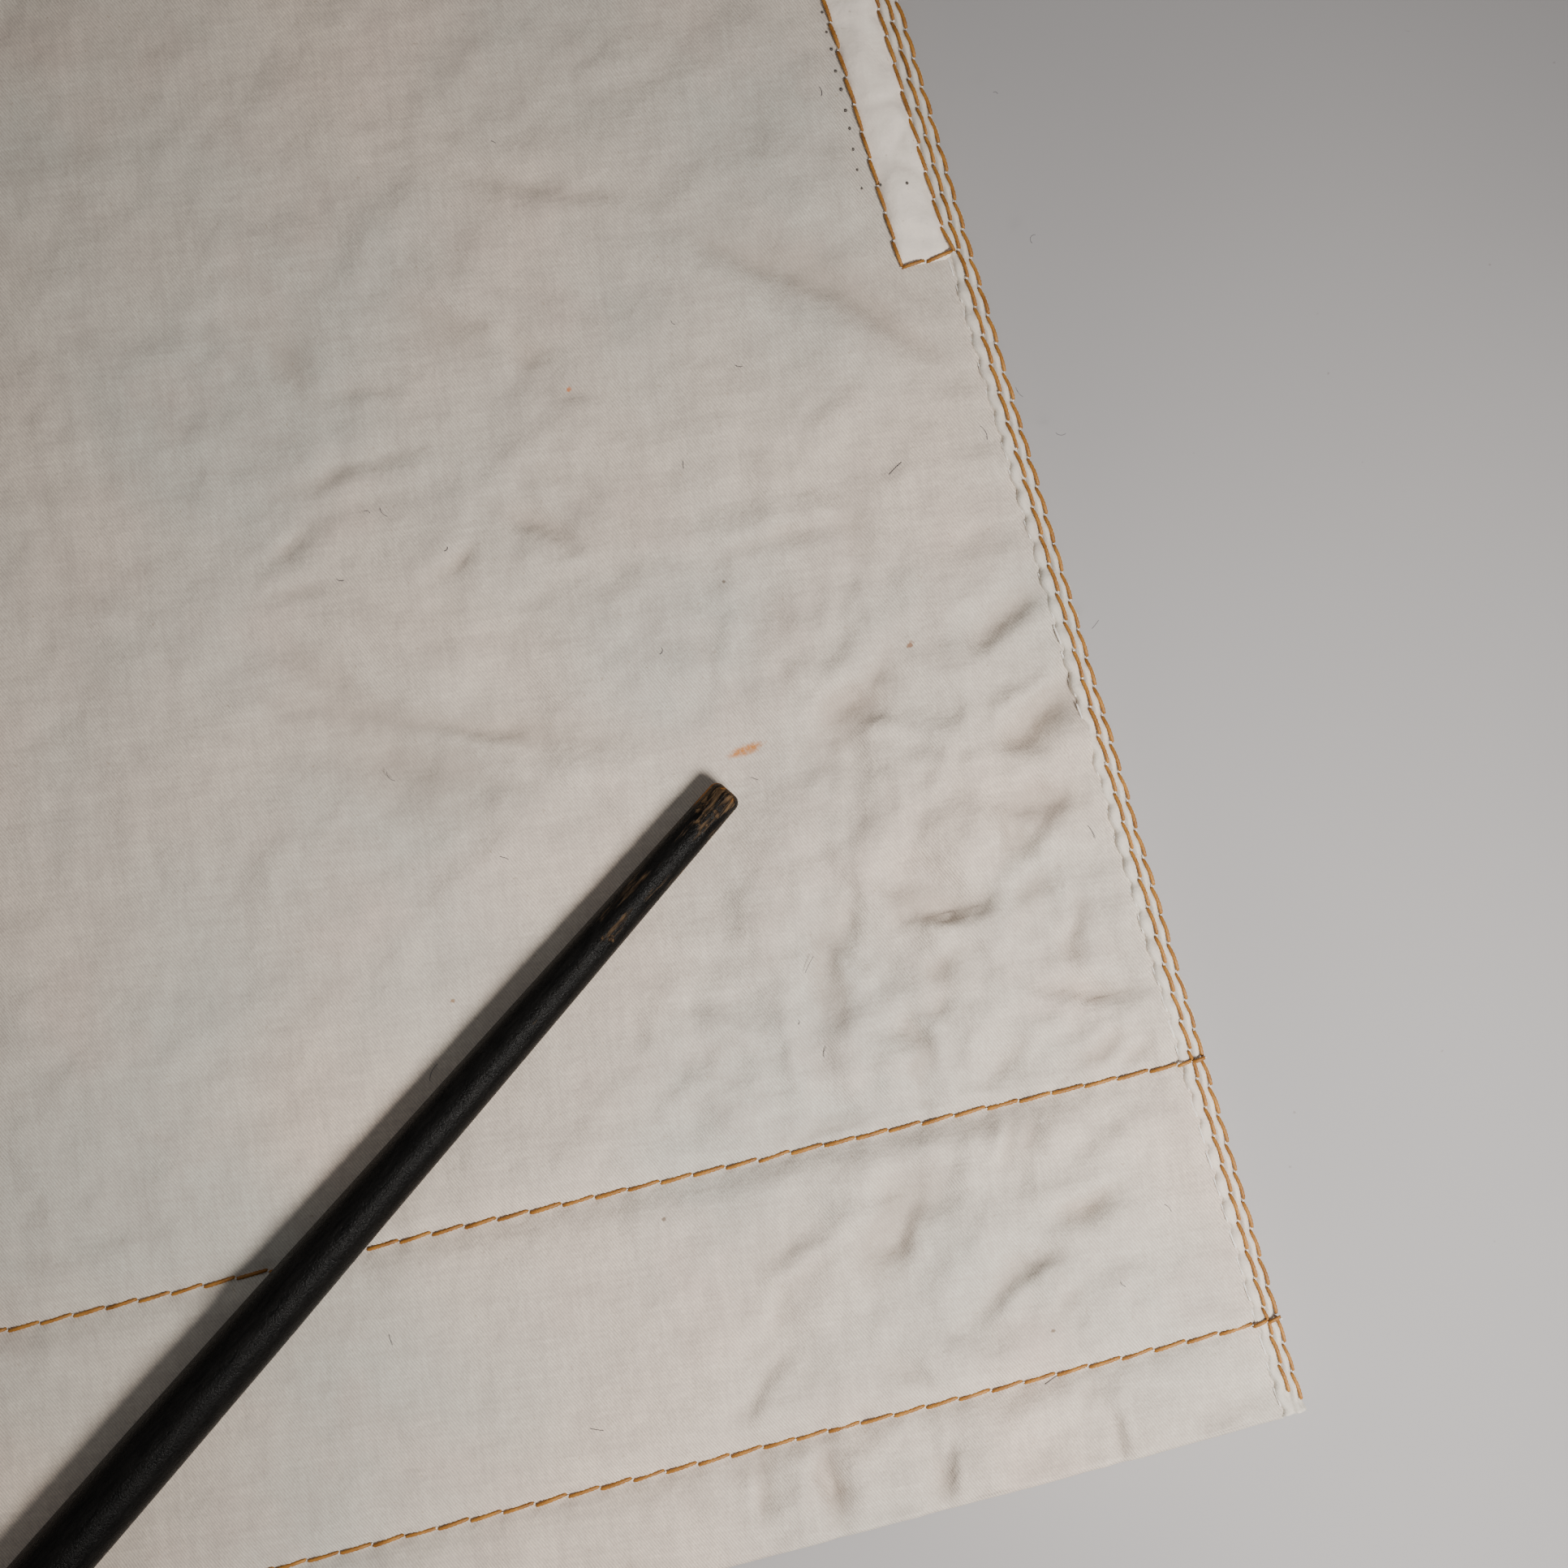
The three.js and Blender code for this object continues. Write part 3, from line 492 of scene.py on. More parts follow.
def lacquer():
    """Black lacquer over wood; the stick's own y runs from its tip. It is worn through near the tip."""
    tree = Nodes("black_lacquer")
    place = tree.place()
    stretched = tree.stretch(place, (1, 0.13, 1))
    along = tree.dot(place, (0, 1 / MM, 0))
    grain = tree.noise(2600, 3, 0.65, vector=stretched)
    streak = tree.noise(620, 4, 0.7, vector=stretched)
    worn_here = tree.map(along, 0.5, 34, 0.13, -0.17)
    chips = tree.map(tree.noise(300, 4, 0.7, vector=place), 0.62, 0.7, 0, 0.14)
    wear = tree.map(tree.math("ADD", tree.math("ADD", streak, worn_here), chips), 0.56, 0.66)
    dull_wood = tree.mix(tree.map(grain, 0.35, 0.65), rgb(34, 25, 20), rgb(96, 76, 54))
    near_tip = tree.map(along, 0, 7, 0.1, -0.12)
    ochre = tree.map(tree.math("ADD", tree.noise(900, 2, vector=stretched), near_tip), 0.62, 0.7)
    wood = tree.mix(ochre, dull_wood, rgb(150, 98, 44))
    black = tree.mix(tree.map(grain, 0.3, 0.7), rgb(9, 9, 9), rgb(22, 21, 20))
    tree.link(tree.mix(wear, black, wood), "Base Color")
    grit = tree.noise(4200, 2, 0.7, vector=place)
    roughness = tree.math("ADD", tree.map(grit, 0.35, 0.65, 0.2, 0.42), tree.math("MULTIPLY", wear, 0.3))
    tree.link(roughness, "Roughness")
    tree.set(Specular_IOR_Level=0.06)
    ripple = tree.bump(grain, 0.06 * MM, 0.7)
    sparkle = tree.bump(grit, 0.09 * MM, 1.0, ripple)
    tree.link(tree.bump(tree.math("MULTIPLY", wear, -1), 0.08 * MM, 0.8, sparkle), "Normal")
    return tree.material


def table_top():
    tree = Nodes("table_top")
    place = tree.place()
    drift = tree.map(tree.noise(9, 2, vector=place), 0.35, 0.65)
    colour = tree.mix(drift, rgb(154, 152, 153), rgb(161, 159, 160))
    speck = tree.map(tree.noise(700, 1, 0.5, vector=place), 0.80, 0.83, 0, 0.5)
    colour = tree.mix(speck, colour, rgb(120, 112, 108))
    tree.link(colour, "Base Color")
    tree.set(Roughness=0.55, Specular_IOR_Level=0.35)
    tree.link(tree.bump(tree.noise(160, 3, vector=place), 0.02 * MM, 0.3), "Normal")
    return tree.material


FRONT_CLOTH = cotton("twill_left_front", marks=[stain, *SPOTS])
CLOTH = cotton("twill")
# Painted light: the seam bands and belt loops are the same twill made paler, with less shade in their weave,
# for the light that they catch.
SEAM_CLOTH_PAINTED_LIGHT = cotton("twill_seam_painted_light", light=rgb(236, 225, 210), twill=0.4, shade=0.2)
# Painted light: the pocket strip is the same twill made paler, with less shade in its weave, for the light
# that its bulge catches.
STRIP_CLOTH_PAINTED_LIGHT = cotton("twill_pocket_strip_painted_light", rgb(250, 240, 228), rgb(246, 235, 222), twill=0.25, shade=0.1)
LINING = cotton("pocket_lining", light=rgb(232, 228, 220), cool=rgb(224, 220, 214), twill=0.0)
THREAD = golden_thread()
BOBBIN = pale_thread()
BRASS = brass()
LACQUER = lacquer()

# ------------------------------------------------------------------ relief of the cloth

# Creases of the left leg's front: points from the outer hem corner, half width and height, in millimetres.
CREASES = [
    ([(-78, 149), (-68, 146), (-54, 143)], 1.2, -0.15),
    ([(-59, 158), (-53, 159), (-48, 160)], 0.9, 0.12),
    ([(-52, 140), (-42, 134), (-34, 130), (-26, 123)], 3.2, -0.42),
    ([(-38, 134), (-29, 126), (-21, 118)], 1.1, -0.16),
    ([(-99, 116), (-91, 118), (-78, 119)], 0.9, -0.16),
    ([(-100, 112), (-92, 114), (-81, 115)], 0.9, -0.16),
    ([(-86, 102), (-80, 106), (-76, 110)], 1.0, -0.12),
    ([(-74, 101), (-68, 103), (-64, 104)], 0.8, -0.15),
    ([(-78, 112), (-71, 109), (-63, 103)], 0.9, -0.13),
    ([(-53, 102), (-47, 104), (-42, 105), (-36, 105)], 0.8, -0.24),
    ([(-36, 109), (-37, 104), (-36, 99)], 2.2, -0.2),
    ([(-44, 81), (-39, 85), (-34, 90)], 2.4, -0.5),
    ([(-42, 84), (-35, 85)], 0.8, -0.15),
    ([(-15, 95), (-20, 92), (-26, 88)], 1.5, -0.5),
    ([(-14, 85), (-18, 81), (-24, 77)], 1.7, -0.6),
    ([(-14, 72), (-19, 70), (-24, 65)], 1.6, -0.45),
    ([(-23, 70), (-25, 65)], 1.2, -0.3),
    ([(-25, 62), (-30, 60), (-37, 61)], 1.5, -0.4),
    ([(-30, 56), (-36, 54)], 1.3, -0.35),
    ([(-33, 52), (-35, 48)], 1.6, -0.4),
    ([(-16, 61), (-19, 55)], 1.3, -0.35),
    ([(-41, 65), (-45, 57), (-44, 47)], 2.2, -0.4),
    ([(-23, 51), (-17, 49), (-11, 49)], 0.9, -0.55),
    ([(-36, 36), (-38, 42)], 1.1, -0.25),
    ([(-29, 41), (-25, 45)], 0.8, -0.25),
    ([(-15, 41), (-11, 44)], 0.8, -0.25),
    ([(-25, 38), (-27, 31)], 1.0, -0.3),
    ([(-38, 31), (-42, 25), (-45, 22)], 2.0, -0.45),
    ([(-44, 28), (-55, 21), (-59, 15)], 1.3, -0.25),
    ([(-25, 25), (-17, 28)], 1.1, -0.3),
    ([(-21, 18), (-27, 14)], 1.2, -0.25),
    ([(-53, 16), (-58, 12), (-63, 6)], 1.0, -0.2),
    ([(-53, 2), (-53, -5)], 1.0, -0.5),
    ([(-39, 2), (-40, -4)], 0.9, -0.4),
    ([(-60, 3), (-61, -5)], 1.0, -0.25),
    ([(-21, 3), (-20, -3)], 0.8, -0.25),
    ([(-102, 94), (-90, 90), (-76, 86), (-62, 83)], 2.4, -0.45),
    ([(-90, 87), (-74, 83)], 1.2, -0.2),
    ([(-70, 130), (-69, 126)], 2.2, -0.3),
    ([(-33, 133), (-29, 130), (-22, 123)], 0.9, 0.12),
    ([(-20, 103), (-25, 100)], 1.2, -0.12),
    ([(-102, 109), (-99, 110), (-95, 112)], 0.9, -0.3),
    ([(-103, 104), (-99, 105), (-94, 105)], 0.9, -0.22),
    ([(-100, 116), (-93, 117), (-87, 118)], 1.1, -0.2),
    ([(-93, 126), (-89, 126), (-83, 126)], 1.0, -0.18),
    ([(-71, 116), (-68, 115), (-65, 113)], 1.2, -0.2),
    ([(-67, 123), (-61, 122)], 0.9, -0.18),
    ([(-83, 105), (-79, 107), (-77, 108)], 1.0, -0.2),
    ([(-75, 111), (-71, 109), (-66, 107)], 2.6, -0.3),
    ([(-99, 92), (-91, 87), (-85, 84), (-75, 81)], 4.2, -0.42),
    ([(-104, 101), (-97, 96), (-91, 92)], 2.4, -0.25),
    ([(-84, 88), (-79, 87), (-75, 87)], 0.9, -0.2),
    ([(-99, 134), (-96, 130), (-94, 126)], 2.6, -0.3),
    ([(-85, 136), (-77, 133), (-70, 130)], 2.6, -0.25),
    ([(-43, 84), (-41, 85), (-37, 86)], 1.0, -0.2),
    ([(-27, 78), (-22, 80), (-14, 84)], 1.4, -0.45),
    ([(-25, 67), (-23, 71), (-18, 71), (-16, 72)], 2.2, -0.5),
    ([(-38, 65), (-35, 67), (-31, 67)], 1.2, -0.25),
    ([(-39, 61), (-33, 61), (-28, 62)], 2.4, -0.4),
    ([(-24, 58), (-23, 61), (-19, 64)], 1.6, -0.35),
    ([(-46, 59), (-47, 55), (-46, 50)], 1.3, -0.25),
    ([(-37, 51), (-37, 48), (-35, 45)], 1.5, -0.35),
    ([(-20, 57), (-19, 54), (-18, 50)], 1.2, -0.3),
    ([(-15, 57), (-14, 54), (-12, 52)], 1.0, -0.3),
    ([(-41, 34), (-44, 26), (-46, 18)], 3.0, -0.3),
    ([(-34, 34), (-37, 29), (-39, 23)], 2.2, -0.22),
    ([(-27, 38), (-28, 34), (-30, 31)], 1.1, -0.35),
    ([(-26, 26), (-20, 27), (-16, 29)], 1.2, -0.3),
    ([(-36, 14), (-29, 20), (-21, 22)], 1.5, -0.4),
    ([(-46, 14), (-43, 11), (-39, 8)], 1.3, -0.25),
    ([(-53, 5), (-54, 0), (-54, -5)], 1.6, -0.4),
    ([(-41, 2), (-41, -4)], 1.0, -0.3),
    ([(-48, 8), (-48, 4)], 1.4, -0.25),
    ([(-60, 5), (-60, 0)], 2.2, -0.25),
    ([(-22, 8), (-24, 4)], 1.6, -0.25),
    ([(-37, 40), (-38, 44), (-34, 47)], 1.2, -0.35),
    ([(-53, 37), (-47, 38), (-41, 39)], 1.3, -0.3),
    ([(-21, 42), (-17, 43), (-13, 45)], 1.2, -0.4),
    ([(-60, 22), (-52, 27), (-48, 30)], 2.4, -0.2),
]

CREASE_SHIFT = (-0.85, 0.1)
CREASE_DEPTH = 2.9  # multiplies the heights above


def crease_relief(x, y):
    """Each crease is a groove or ridge that fades at its ends, with a low roll of cloth beside it."""
    z = np.zeros_like(x)
    steep = 1  # which side of a crease falls steeply; it changes from one to the next
    wander_x = 1.1 * noise(x / 5, y / 5, 31) + 0.4 * noise(x / 1.9, y / 1.9, 33)
    wander_y = 1.1 * noise(x / 5, y / 5, 32) + 0.4 * noise(x / 1.9, y / 1.9, 34)
    for points, width, height in CREASES:
        path = CORNER + CREASE_SHIFT + np.array(points, float)
        low, high = path.min(axis=0) - 4 * width - 2, path.max(axis=0) + 4 * width + 2
        near = (x > low[0]) & (x < high[0]) & (y > low[1]) & (y < high[1])
        if not near.any():
            continue
        px, py = (x + wander_x)[near], (y + wander_y)[near]
        lengths = np.hypot(*np.diff(path, axis=0).T)
        total, walked = lengths.sum(), 0.0
        best, at, turn = np.full(px.shape, 1e9), np.zeros(px.shape), np.ones(px.shape)
        steep = -steep
        for (ax, ay), (bx, by), length in zip(path[:-1], path[1:], lengths):
            dx, dy = bx - ax, by - ay
            s = np.clip(((px - ax) * dx + (py - ay) * dy) / length**2, 0, 1)
            distance = np.hypot(px - ax - s * dx, py - ay - s * dy)
            closer = distance < best
            best, at = np.where(closer, distance, best), np.where(closer, walked + s * length, at)
            turn = np.where(closer, np.sign(dx * (py - ay) - dy * (px - ax)), turn)
            walked += length
        fade = np.clip(np.sin(math.pi * np.clip(at / total, 0.08, 0.92)), 0, 1)
        wide = width * np.where(turn == steep, 0.6, 1.5)
        groove = 0.6 * bump(best, wide) + 0.4 * np.exp(-best / (0.6 * wide))
        z[near] += CREASE_DEPTH * height * fade * (groove - 0.3 * bump(best - 2.2 * wide, wide))
    return z


def zip_lift(x, y):
    """How much the front rises over the zip's tapes and shield."""
    beside = 1 - smooth(np.abs(x), ZIP_WIDTH, ZIP_WIDTH + ZIP_FADE)
    return ZIP_RISE * beside * smooth(y, ZIP_FOOT - ZIP_FADE, ZIP_FOOT - 9)


def row_pucker(distance, along, pitch, depth):
    """The trough that a row of stitches pulls in the cloth, deepest where the needle went in."""
    pull = 0.6 + 0.4 * np.cos(2 * math.pi * along / pitch)
    return -depth * bump(distance, 0.75) * pull + 0.12 * depth * bump(np.abs(distance) - 2.2, 1.1)


STICK_TIP = np.array([235.5, 7.0])
STICK_HEADING = math.radians(221.2)
STICK_LENGTH = 210


def under_stick(x, y):
    """1 below the stick, fading out beside it."""
    u = (x - STICK_TIP[0]) * math.cos(STICK_HEADING) + (y - STICK_TIP[1]) * math.sin(STICK_HEADING)
    v = (x - STICK_TIP[0]) * -math.sin(STICK_HEADING) + (y - STICK_TIP[1]) * math.cos(STICK_HEADING)
    return bump(v, 9) * smooth(u, -14, -2)


DEEPEST = 1.2  # the front's cloth dips no further, for what lies under it


def front_height(x, y, left=True):
    """Height of the front's cloth above the table at a point of the leg, x measured from the centre line."""
    x, y = np.asarray(x, float), np.asarray(y, float)
    seed = 1 if left else 11
    inset = outer_x(y) - x
    z = 0.55 * noise(x / 46, y / 40, seed) + 0.42 * noise(x / 21, y / 24, seed + 1)
    z = z + 0.11 * noise(x / 9, y / 11, seed + 2)
    in_hem = smooth(y, hem_line(x, HEM_UPPER) + 1, hem_line(x, HEM_UPPER) - 4)
    rough = (0.5 + 1.1 * smooth(inset, 85, 25) * smooth(y, 52, -2)) * (1 - 0.4 * in_hem)
    wx, wy = x + 3.2 * noise(x / 12, y / 12, seed + 8), y + 3.2 * noise(x / 12, y / 12, seed + 9)
    crumple = 1.9 * ridged(wx / 17, wy / 12, seed + 3) + 1.15 * ridged(wx / 7, wy / 9, seed + 4)
    crumple = crumple - 1.1 * ridged(wx / 9.5, wy / 5.5, seed + 10)
    crumple = crumple + 0.42 * ridged(wx / 3.6, wy / 2.9, seed + 12)
    z = z + rough * crumple
    upper = y - hem_line(x, HEM_UPPER)
    lower = y - hem_line(x, HEM_LOWER)
    calm = smooth(inset, SEAM_WIDTH - 1, SEAM_WIDTH + 9) * smooth(x - inner_x(y), 2, 14)
    sewn = np.maximum(bump(upper, 2.2), bump(lower, 2.2))
    z = z * (0.25 + 0.75 * calm)
    if left:
        puffed = smooth(inset, SEAM_WIDTH + 1, SEAM_WIDTH + 16) * smooth(x, 4, 30)
        z = z + crease_relief(x, y) + 0.9 * puffed * smooth(y, RISE - 4, RISE - 30)
        z = z - under_stick(x, y) * np.maximum(z, 0)
    z = z * (1 - 0.8 * sewn)
    ditch = inset - SEAM_WIDTH
    ditch = ditch + 0.35 * noise(y / 2.2, 0, seed + 13)
    z = z - 0.5 * bump(ditch, 0.7) + 0.16 * bump(ditch - 1.9, 1.0)
    drag = 0.7 * noise(y / 3.4, ditch / 14, seed + 5)
    drag = drag + 0.4 * noise((y + 0.4 * ditch) / 7.5, ditch / 22, seed + 14)
    z = z + drag * np.exp(-np.maximum(ditch, 0) / 6)
    z = z + row_pucker(upper, x, STITCH_HEM, 0.42) + row_pucker(lower, x, STITCH_HEM, 0.46)
    gather = 0.42 * noise((x + 0.45 * upper) / 4.3, upper / 26, seed + 6) * np.exp(-np.abs(upper - 1) / 5)
    rope = 0.55 * noise((x + 0.2 * lower) / 5.2, lower / 24, seed + 7) * bump(lower + 5, 6.5)
    z = z + gather * (np.abs(upper) < 25) + rope
    z = z + 0.3 * smooth(y, hem_line(x, HEM_UPPER) - 1, hem_line(x, HEM_UPPER) - 3)
    z = np.where(z < 0, -DEEPEST * np.tanh(-z / DEEPEST), z)
    pressed = smooth(inset, WELT_INNER + 3, WELT_INNER + 0.5) * smooth(y, POCKET_FOOT - 3, POCKET_FOOT)
    z = z - pressed * np.maximum(z, 0)
    return FRONT_TOP + zip_lift(x, y) + z


# ------------------------------------------------------------------ the legs' fronts and backs

VIEW_HIGH = HEM_Y + 182  # the camera sees the left leg closely below this


FRONT_FOLD, BACK_FOLD = 0.85, 0.7  # radius in plan of the hems' folds
FRONT_FACING_DROP = 1.75  # the turned-up facing lies this far under the front's top
BACK_FACING_HEIGHT = 1.45


def leg_rows(fine):
    """Outer-edge heights of the cloth's rows, closest together along the stitched hem rows."""
    def spacing(y):
        if not fine:
            return 2.6 if y > HEM_Y + 60 else 1.6
        if min(abs(y - HEM_Y - HEM_LOWER[0]), abs(y - HEM_Y - HEM_UPPER[0])) < 2:
            return 0.36
        return 0.8 if y < VIEW_HIGH else min(0.8 + (y - VIEW_HIGH) / 12, 3.2)
    return graded(HEM_Y + 0.8, RISE - 0.3, spacing)


def leg_shares(fine):
    """How far across the leg each column stands, from the inner edge to the seam's ditch."""
    start = 0.46 if fine else 1.0
    step = 0.0022 if fine else 0.0105
    return graded(0, 1, lambda share: step if share >= start else 0.0105)


def inner_edge(inner_y):
    """Where the cloth starts: at the leg seam, the centre seam or the zip."""
    leg = inner_x(inner_y) + SEAM_WIDTH - 0.1
    centre = RISE_SEAM_WIDTH / 2 - 0.1
    fly = np.where(inner_y > ZIP_FOOT, ZIP_EDGE, centre)
    return np.where(inner_y < 0, leg, fly)


def leg_plan(ys, shares, outer_inset):
    """The plan points of cross rows that tilt gradually from the hem to the waist."""
    inner = np.interp(ys, ROW_OUTER, ROW_INNER)
    start, end = inner_edge(inner), outer_x(ys) - outer_inset
    x = start[:, None] + (end - start)[:, None] * shares[None, :]
    y = ys[:, None] - row_tilt(ys)[:, None] * (outer_x(ys)[:, None] - x)
    return x, y


def hem_roll(x, z, shares, radius, bottom):
    """Rows that carry the cloth round the hem's fold and up inside as its facing."""
    rows = []
    edge = hem_line(x)
    facing_ys = np.linspace(HEM_Y + HEM_UPPER[0] + FACING, HEM_Y + radius, 8)
    facing_x, facing_y = leg_plan(facing_ys, shares, SEAM_WIDTH)
    for facing in zip(facing_x, facing_y):
        rows.append(np.dstack([*facing, np.full_like(x, bottom)])[0])
    for angle in np.linspace(-90, 90, 9)[1:-1]:
        a = math.radians(angle)
        height = bottom + (z - bottom) * (1 + math.sin(a)) / 2
        rows.append(np.dstack([x, edge + radius * (1 - math.cos(a)), height])[0])
    return np.array(rows)


def leg_front(side):
    """A leg's front from the inside edge of its facing, round the hem and up to the waistband."""
    left = side > 0
    prefix = leg_name(side)
    shares = leg_shares(left)
    x, y = leg_plan(leg_rows(left), shares, SEAM_WIDTH - 0.25)
    z = front_height(x, y, left)
    z[:, -1] -= 0.15
    z[:, 0] -= 0.5
    roll = hem_roll(x[0], z[0], shares, FRONT_FOLD, FRONT_TOP - FRONT_FACING_DROP)
    grid = np.concatenate([roll, np.dstack([x, y, z])])
    grid[..., 0] *= side
    piece = grid_mesh(prefix + "front_cloth", grid, FRONT_CLOTH if left else CLOTH, not left,
                      [prefix + "front_panel", prefix + "front_hem_facing"])
    if left:
        # How deep each point lies in a crease's groove; the twill paints shade there by this amount.
        painted_crease_shade = np.clip(-crease_relief(x, y) / 0.9, 0, 1)
        crumple = 0.25 + 0.75 * smooth(outer_x(y) - x, 95, 30) * smooth(y, 60, 5)
        for layer, values in (("painted_crease_shade", painted_crease_shade), ("crumple", crumple)):
            whole = np.zeros(grid.shape[:2])
            whole[len(roll):] = values
            attribute = piece.data.attributes.new(layer, "FLOAT", "POINT")
            attribute.data.foreach_set("value", whole.ravel())


def leg_back(side):
    """A leg's back in the same way, nearly flat on the table."""
    left = side > 0
    prefix = leg_name(side)
    shares = leg_shares(False)
    x, y = leg_plan(leg_rows(False), shares, SEAM_WIDTH - 0.25)
    seed = 21 if left else 25
    z = 0.12 + 0.3 * np.abs(noise(x / 30, y / 30, seed)) + 0.1 * np.abs(noise(x / 9, y / 9, seed + 1))
    upper, lower = y - hem_line(x, HEM_UPPER), y - hem_line(x, HEM_LOWER)
    z = z - row_pucker(upper, x, STITCH_HEM, 0.3) - row_pucker(lower, x, STITCH_HEM, 0.3)
    roll = hem_roll(x[0], z[0], shares, BACK_FOLD, BACK_FACING_HEIGHT)
    roll[..., 1] -= 0.5 + 0.35 * noise(x[0] / 24, 0, seed)
    grid = np.concatenate([roll, np.dstack([x, y, z])])
    grid[..., 0] *= side
    grid_mesh(prefix + "back_cloth", grid, CLOTH, left, [prefix + "back_panel", prefix + "back_hem_facing"])


# ------------------------------------------------------------------ felled seams

# Insets and heights round a felled side seam, from its ditch over the edge and back underneath.
SEAM_TOP = [
    (2.8, 2.6), (2.7, 3.25), (2.5, 3.62), (2.25, 3.8), (2.0, 3.78), (1.8, 3.66), (1.6, 3.55), (1.4, 3.68),
    (1.15, 3.86), (0.9, 3.86), (0.7, 3.72), (0.5, 3.55), (0.35, 3.46), (0.15, 3.2), (0.0, 2.7), (-0.04, 2.1),
]
SEAM_UNDER = [
    (0.02, 1.4), (0.12, 0.75), (0.35, 0.3), (0.8, 0.1), (1.6, 0.06), (2.4, 0.1), (2.8, 0.4), (2.9, 1.5),
]


def side_seam(side):
    """The felled band that closes a leg's side, puffed between its rows and scalloped by the stitches."""
    prefix = leg_name(side)
    fine = side > 0
    ys = graded(HEM_Y + 0.2, RISE - 0.3, lambda y: 0.36 if fine and y < VIEW_HIGH else 1.1)
    inset, height = np.array(SEAM_TOP + SEAM_UNDER).T
    upper = height > 2
    along = ys / math.cos(LEAN)
    outer_pull = (0.5 + 0.5 * np.cos(2 * math.pi * along / STITCH_SEAM))[:, None]
    inner_pull = (0.5 + 0.5 * np.cos(2 * math.pi * (along / STITCH_SEAM - 0.35)))[:, None]
    z = np.repeat(height[None, :], len(ys), axis=0)
    z = z - 0.55 * outer_pull * bump(inset - OUTER_ROW, 0.5) * upper
    z = z - 0.5 * inner_pull * bump(inset - INNER_ROW, 0.5) * upper
    z = z + 0.2 * (1 - outer_pull) * bump(inset - 1.05, 0.4) * upper
    z = z + 0.16 * (1 - inner_pull) * bump(inset - 2.2, 0.4) * upper
    below_pocket = smooth(ys, POCKET_FOOT, POCKET_FOOT - 4)
    bulge = (np.abs(np.sin(math.pi * (ys - HEM_Y - 1) / STITCH_DITCH)) * below_pocket)[:, None]
    z = z + 0.4 * (bulge - 0.55) * bump(inset - 2.45, 0.45) * upper
    z = z + 0.14 * noise(ys[:, None] / 7, inset[None, :] / 3, 41) * upper
    pull_in = 0.3 * outer_pull * bump(inset, 0.5)
    wander = 0.22 * noise(ys[:, None] / 17, 0, 43) + 0.08 * noise(ys[:, None] / 5, 0, 44)
    fade = bump(inset, 1.6)
    x = outer_x(ys)[:, None] - inset[None, :] - pull_in - wander * fade
    x = x - 0.4 * bulge * smooth(inset, 1.8, 2.6)
    y = ys[:, None] - row_tilt(ys)[:, None] * inset[None, :]
    loft_mesh(prefix + "side_seam", np.dstack([x * side, y, z]), SEAM_CLOTH_PAINTED_LIGHT, [prefix + "outseam"], side > 0)


def inner_seam(side):
    """The felled band inside a leg, from its hem to the crotch."""
    prefix = leg_name(side)
    ys = graded(-INSEAM + 0.2, -0.4, lambda y: 1.1)
    inset, height = np.array(SEAM_TOP + SEAM_UNDER).T
    x = inner_x(ys)[:, None] + inset[None, :] + 0.1 * noise(ys[:, None] / 9, 0, 51) * bump(inset, 1.6)
    y = np.repeat(ys[:, None], len(inset), axis=1) + 0.13 * inset[None, :] * smooth(-ys, 0, INSEAM)[:, None]
    z = np.repeat(height[None, :], len(ys), axis=0)
    loft_mesh(prefix + "leg_seam", np.dstack([x * side, y, z]), SEAM_CLOTH_PAINTED_LIGHT, [prefix + "inseam"], side < 0)


def centre_seam(name, node, start, stop, top, bottom):
    """A felled seam down the middle, raised between its two rows of stitches."""
    ys = graded(start, stop, lambda y: 1.2)
    half = RISE_SEAM_WIDTH / 2
    xs = np.array([-half, -half + 0.3, -half + 0.8, -1.4, -0.6, 0.4, 1.2, half - 0.9, half - 0.3, half])
    plan = np.stack(np.meshgrid(xs, ys), axis=-1)
    x, y = plan[..., 0], plan[..., 1]
    rows = bump(np.abs(x) - (half - 1), 0.5)
    pad_mesh(name, plan, top(x, y) + 0.15 - 0.25 * rows, bottom(x, y), SEAM_CLOTH_PAINTED_LIGHT, [node])


# ------------------------------------------------------------------ pockets

def pocket_strip(side):
    """The strip beside the pocket mouth: smooth, a little proud, dented across, sewn down at both sides."""
    prefix = leg_name(side)
    ys = graded(POCKET_FOOT, RISE - POCKET_HEAD, lambda y: 0.4 if side > 0 and y < VIEW_HIGH else 1.2)
    insets = np.linspace(WELT_INNER - 0.2, WELT_OUTER + 0.2, 22)
    inset = np.repeat(insets[None, :], len(ys), axis=0)
    x, y = outer_x(ys)[:, None] - inset, ys[:, None] - row_tilt(ys)[:, None] * inset
    across = (inset - WELT_OUTER) / (WELT_INNER - WELT_OUTER)
    crown = np.clip(1 - np.abs(2 * across - 1) ** 3, 0, 1)
    dents = np.maximum(ridged((y + 2.2 * across) / 6.5, across * 0.9, 63), 0)
    puff = 0.75 + 0.9 * noise(y / 9, across * 1.3, 61) + 0.3 * noise(y / 3.3, across * 2, 62) - 1.6 * dents
    base = front_height(x, y, side > 0)
    flat = np.minimum(base, FRONT_TOP + 0.25)
    foot = smooth(ys, POCKET_FOOT, POCKET_FOOT + 2.5)[:, None]
    pull = (0.5 + 0.5 * np.cos(2 * math.pi * y / STITCH_POCKET)) * 0.18 * (1 - crown)
    z = flat + 0.08 + crown * puff * foot - pull - (crown < 0.15) * 0.35
    z[0] -= 0.4
    # The strip's cloth is painted paler for the light it catches.
    pad_mesh(prefix + "pocket_strip", np.dstack([x * side, y]), z, FRONT_TOP - 0.6, STRIP_CLOTH_PAINTED_LIGHT,
             [prefix + "pocket_welt"])


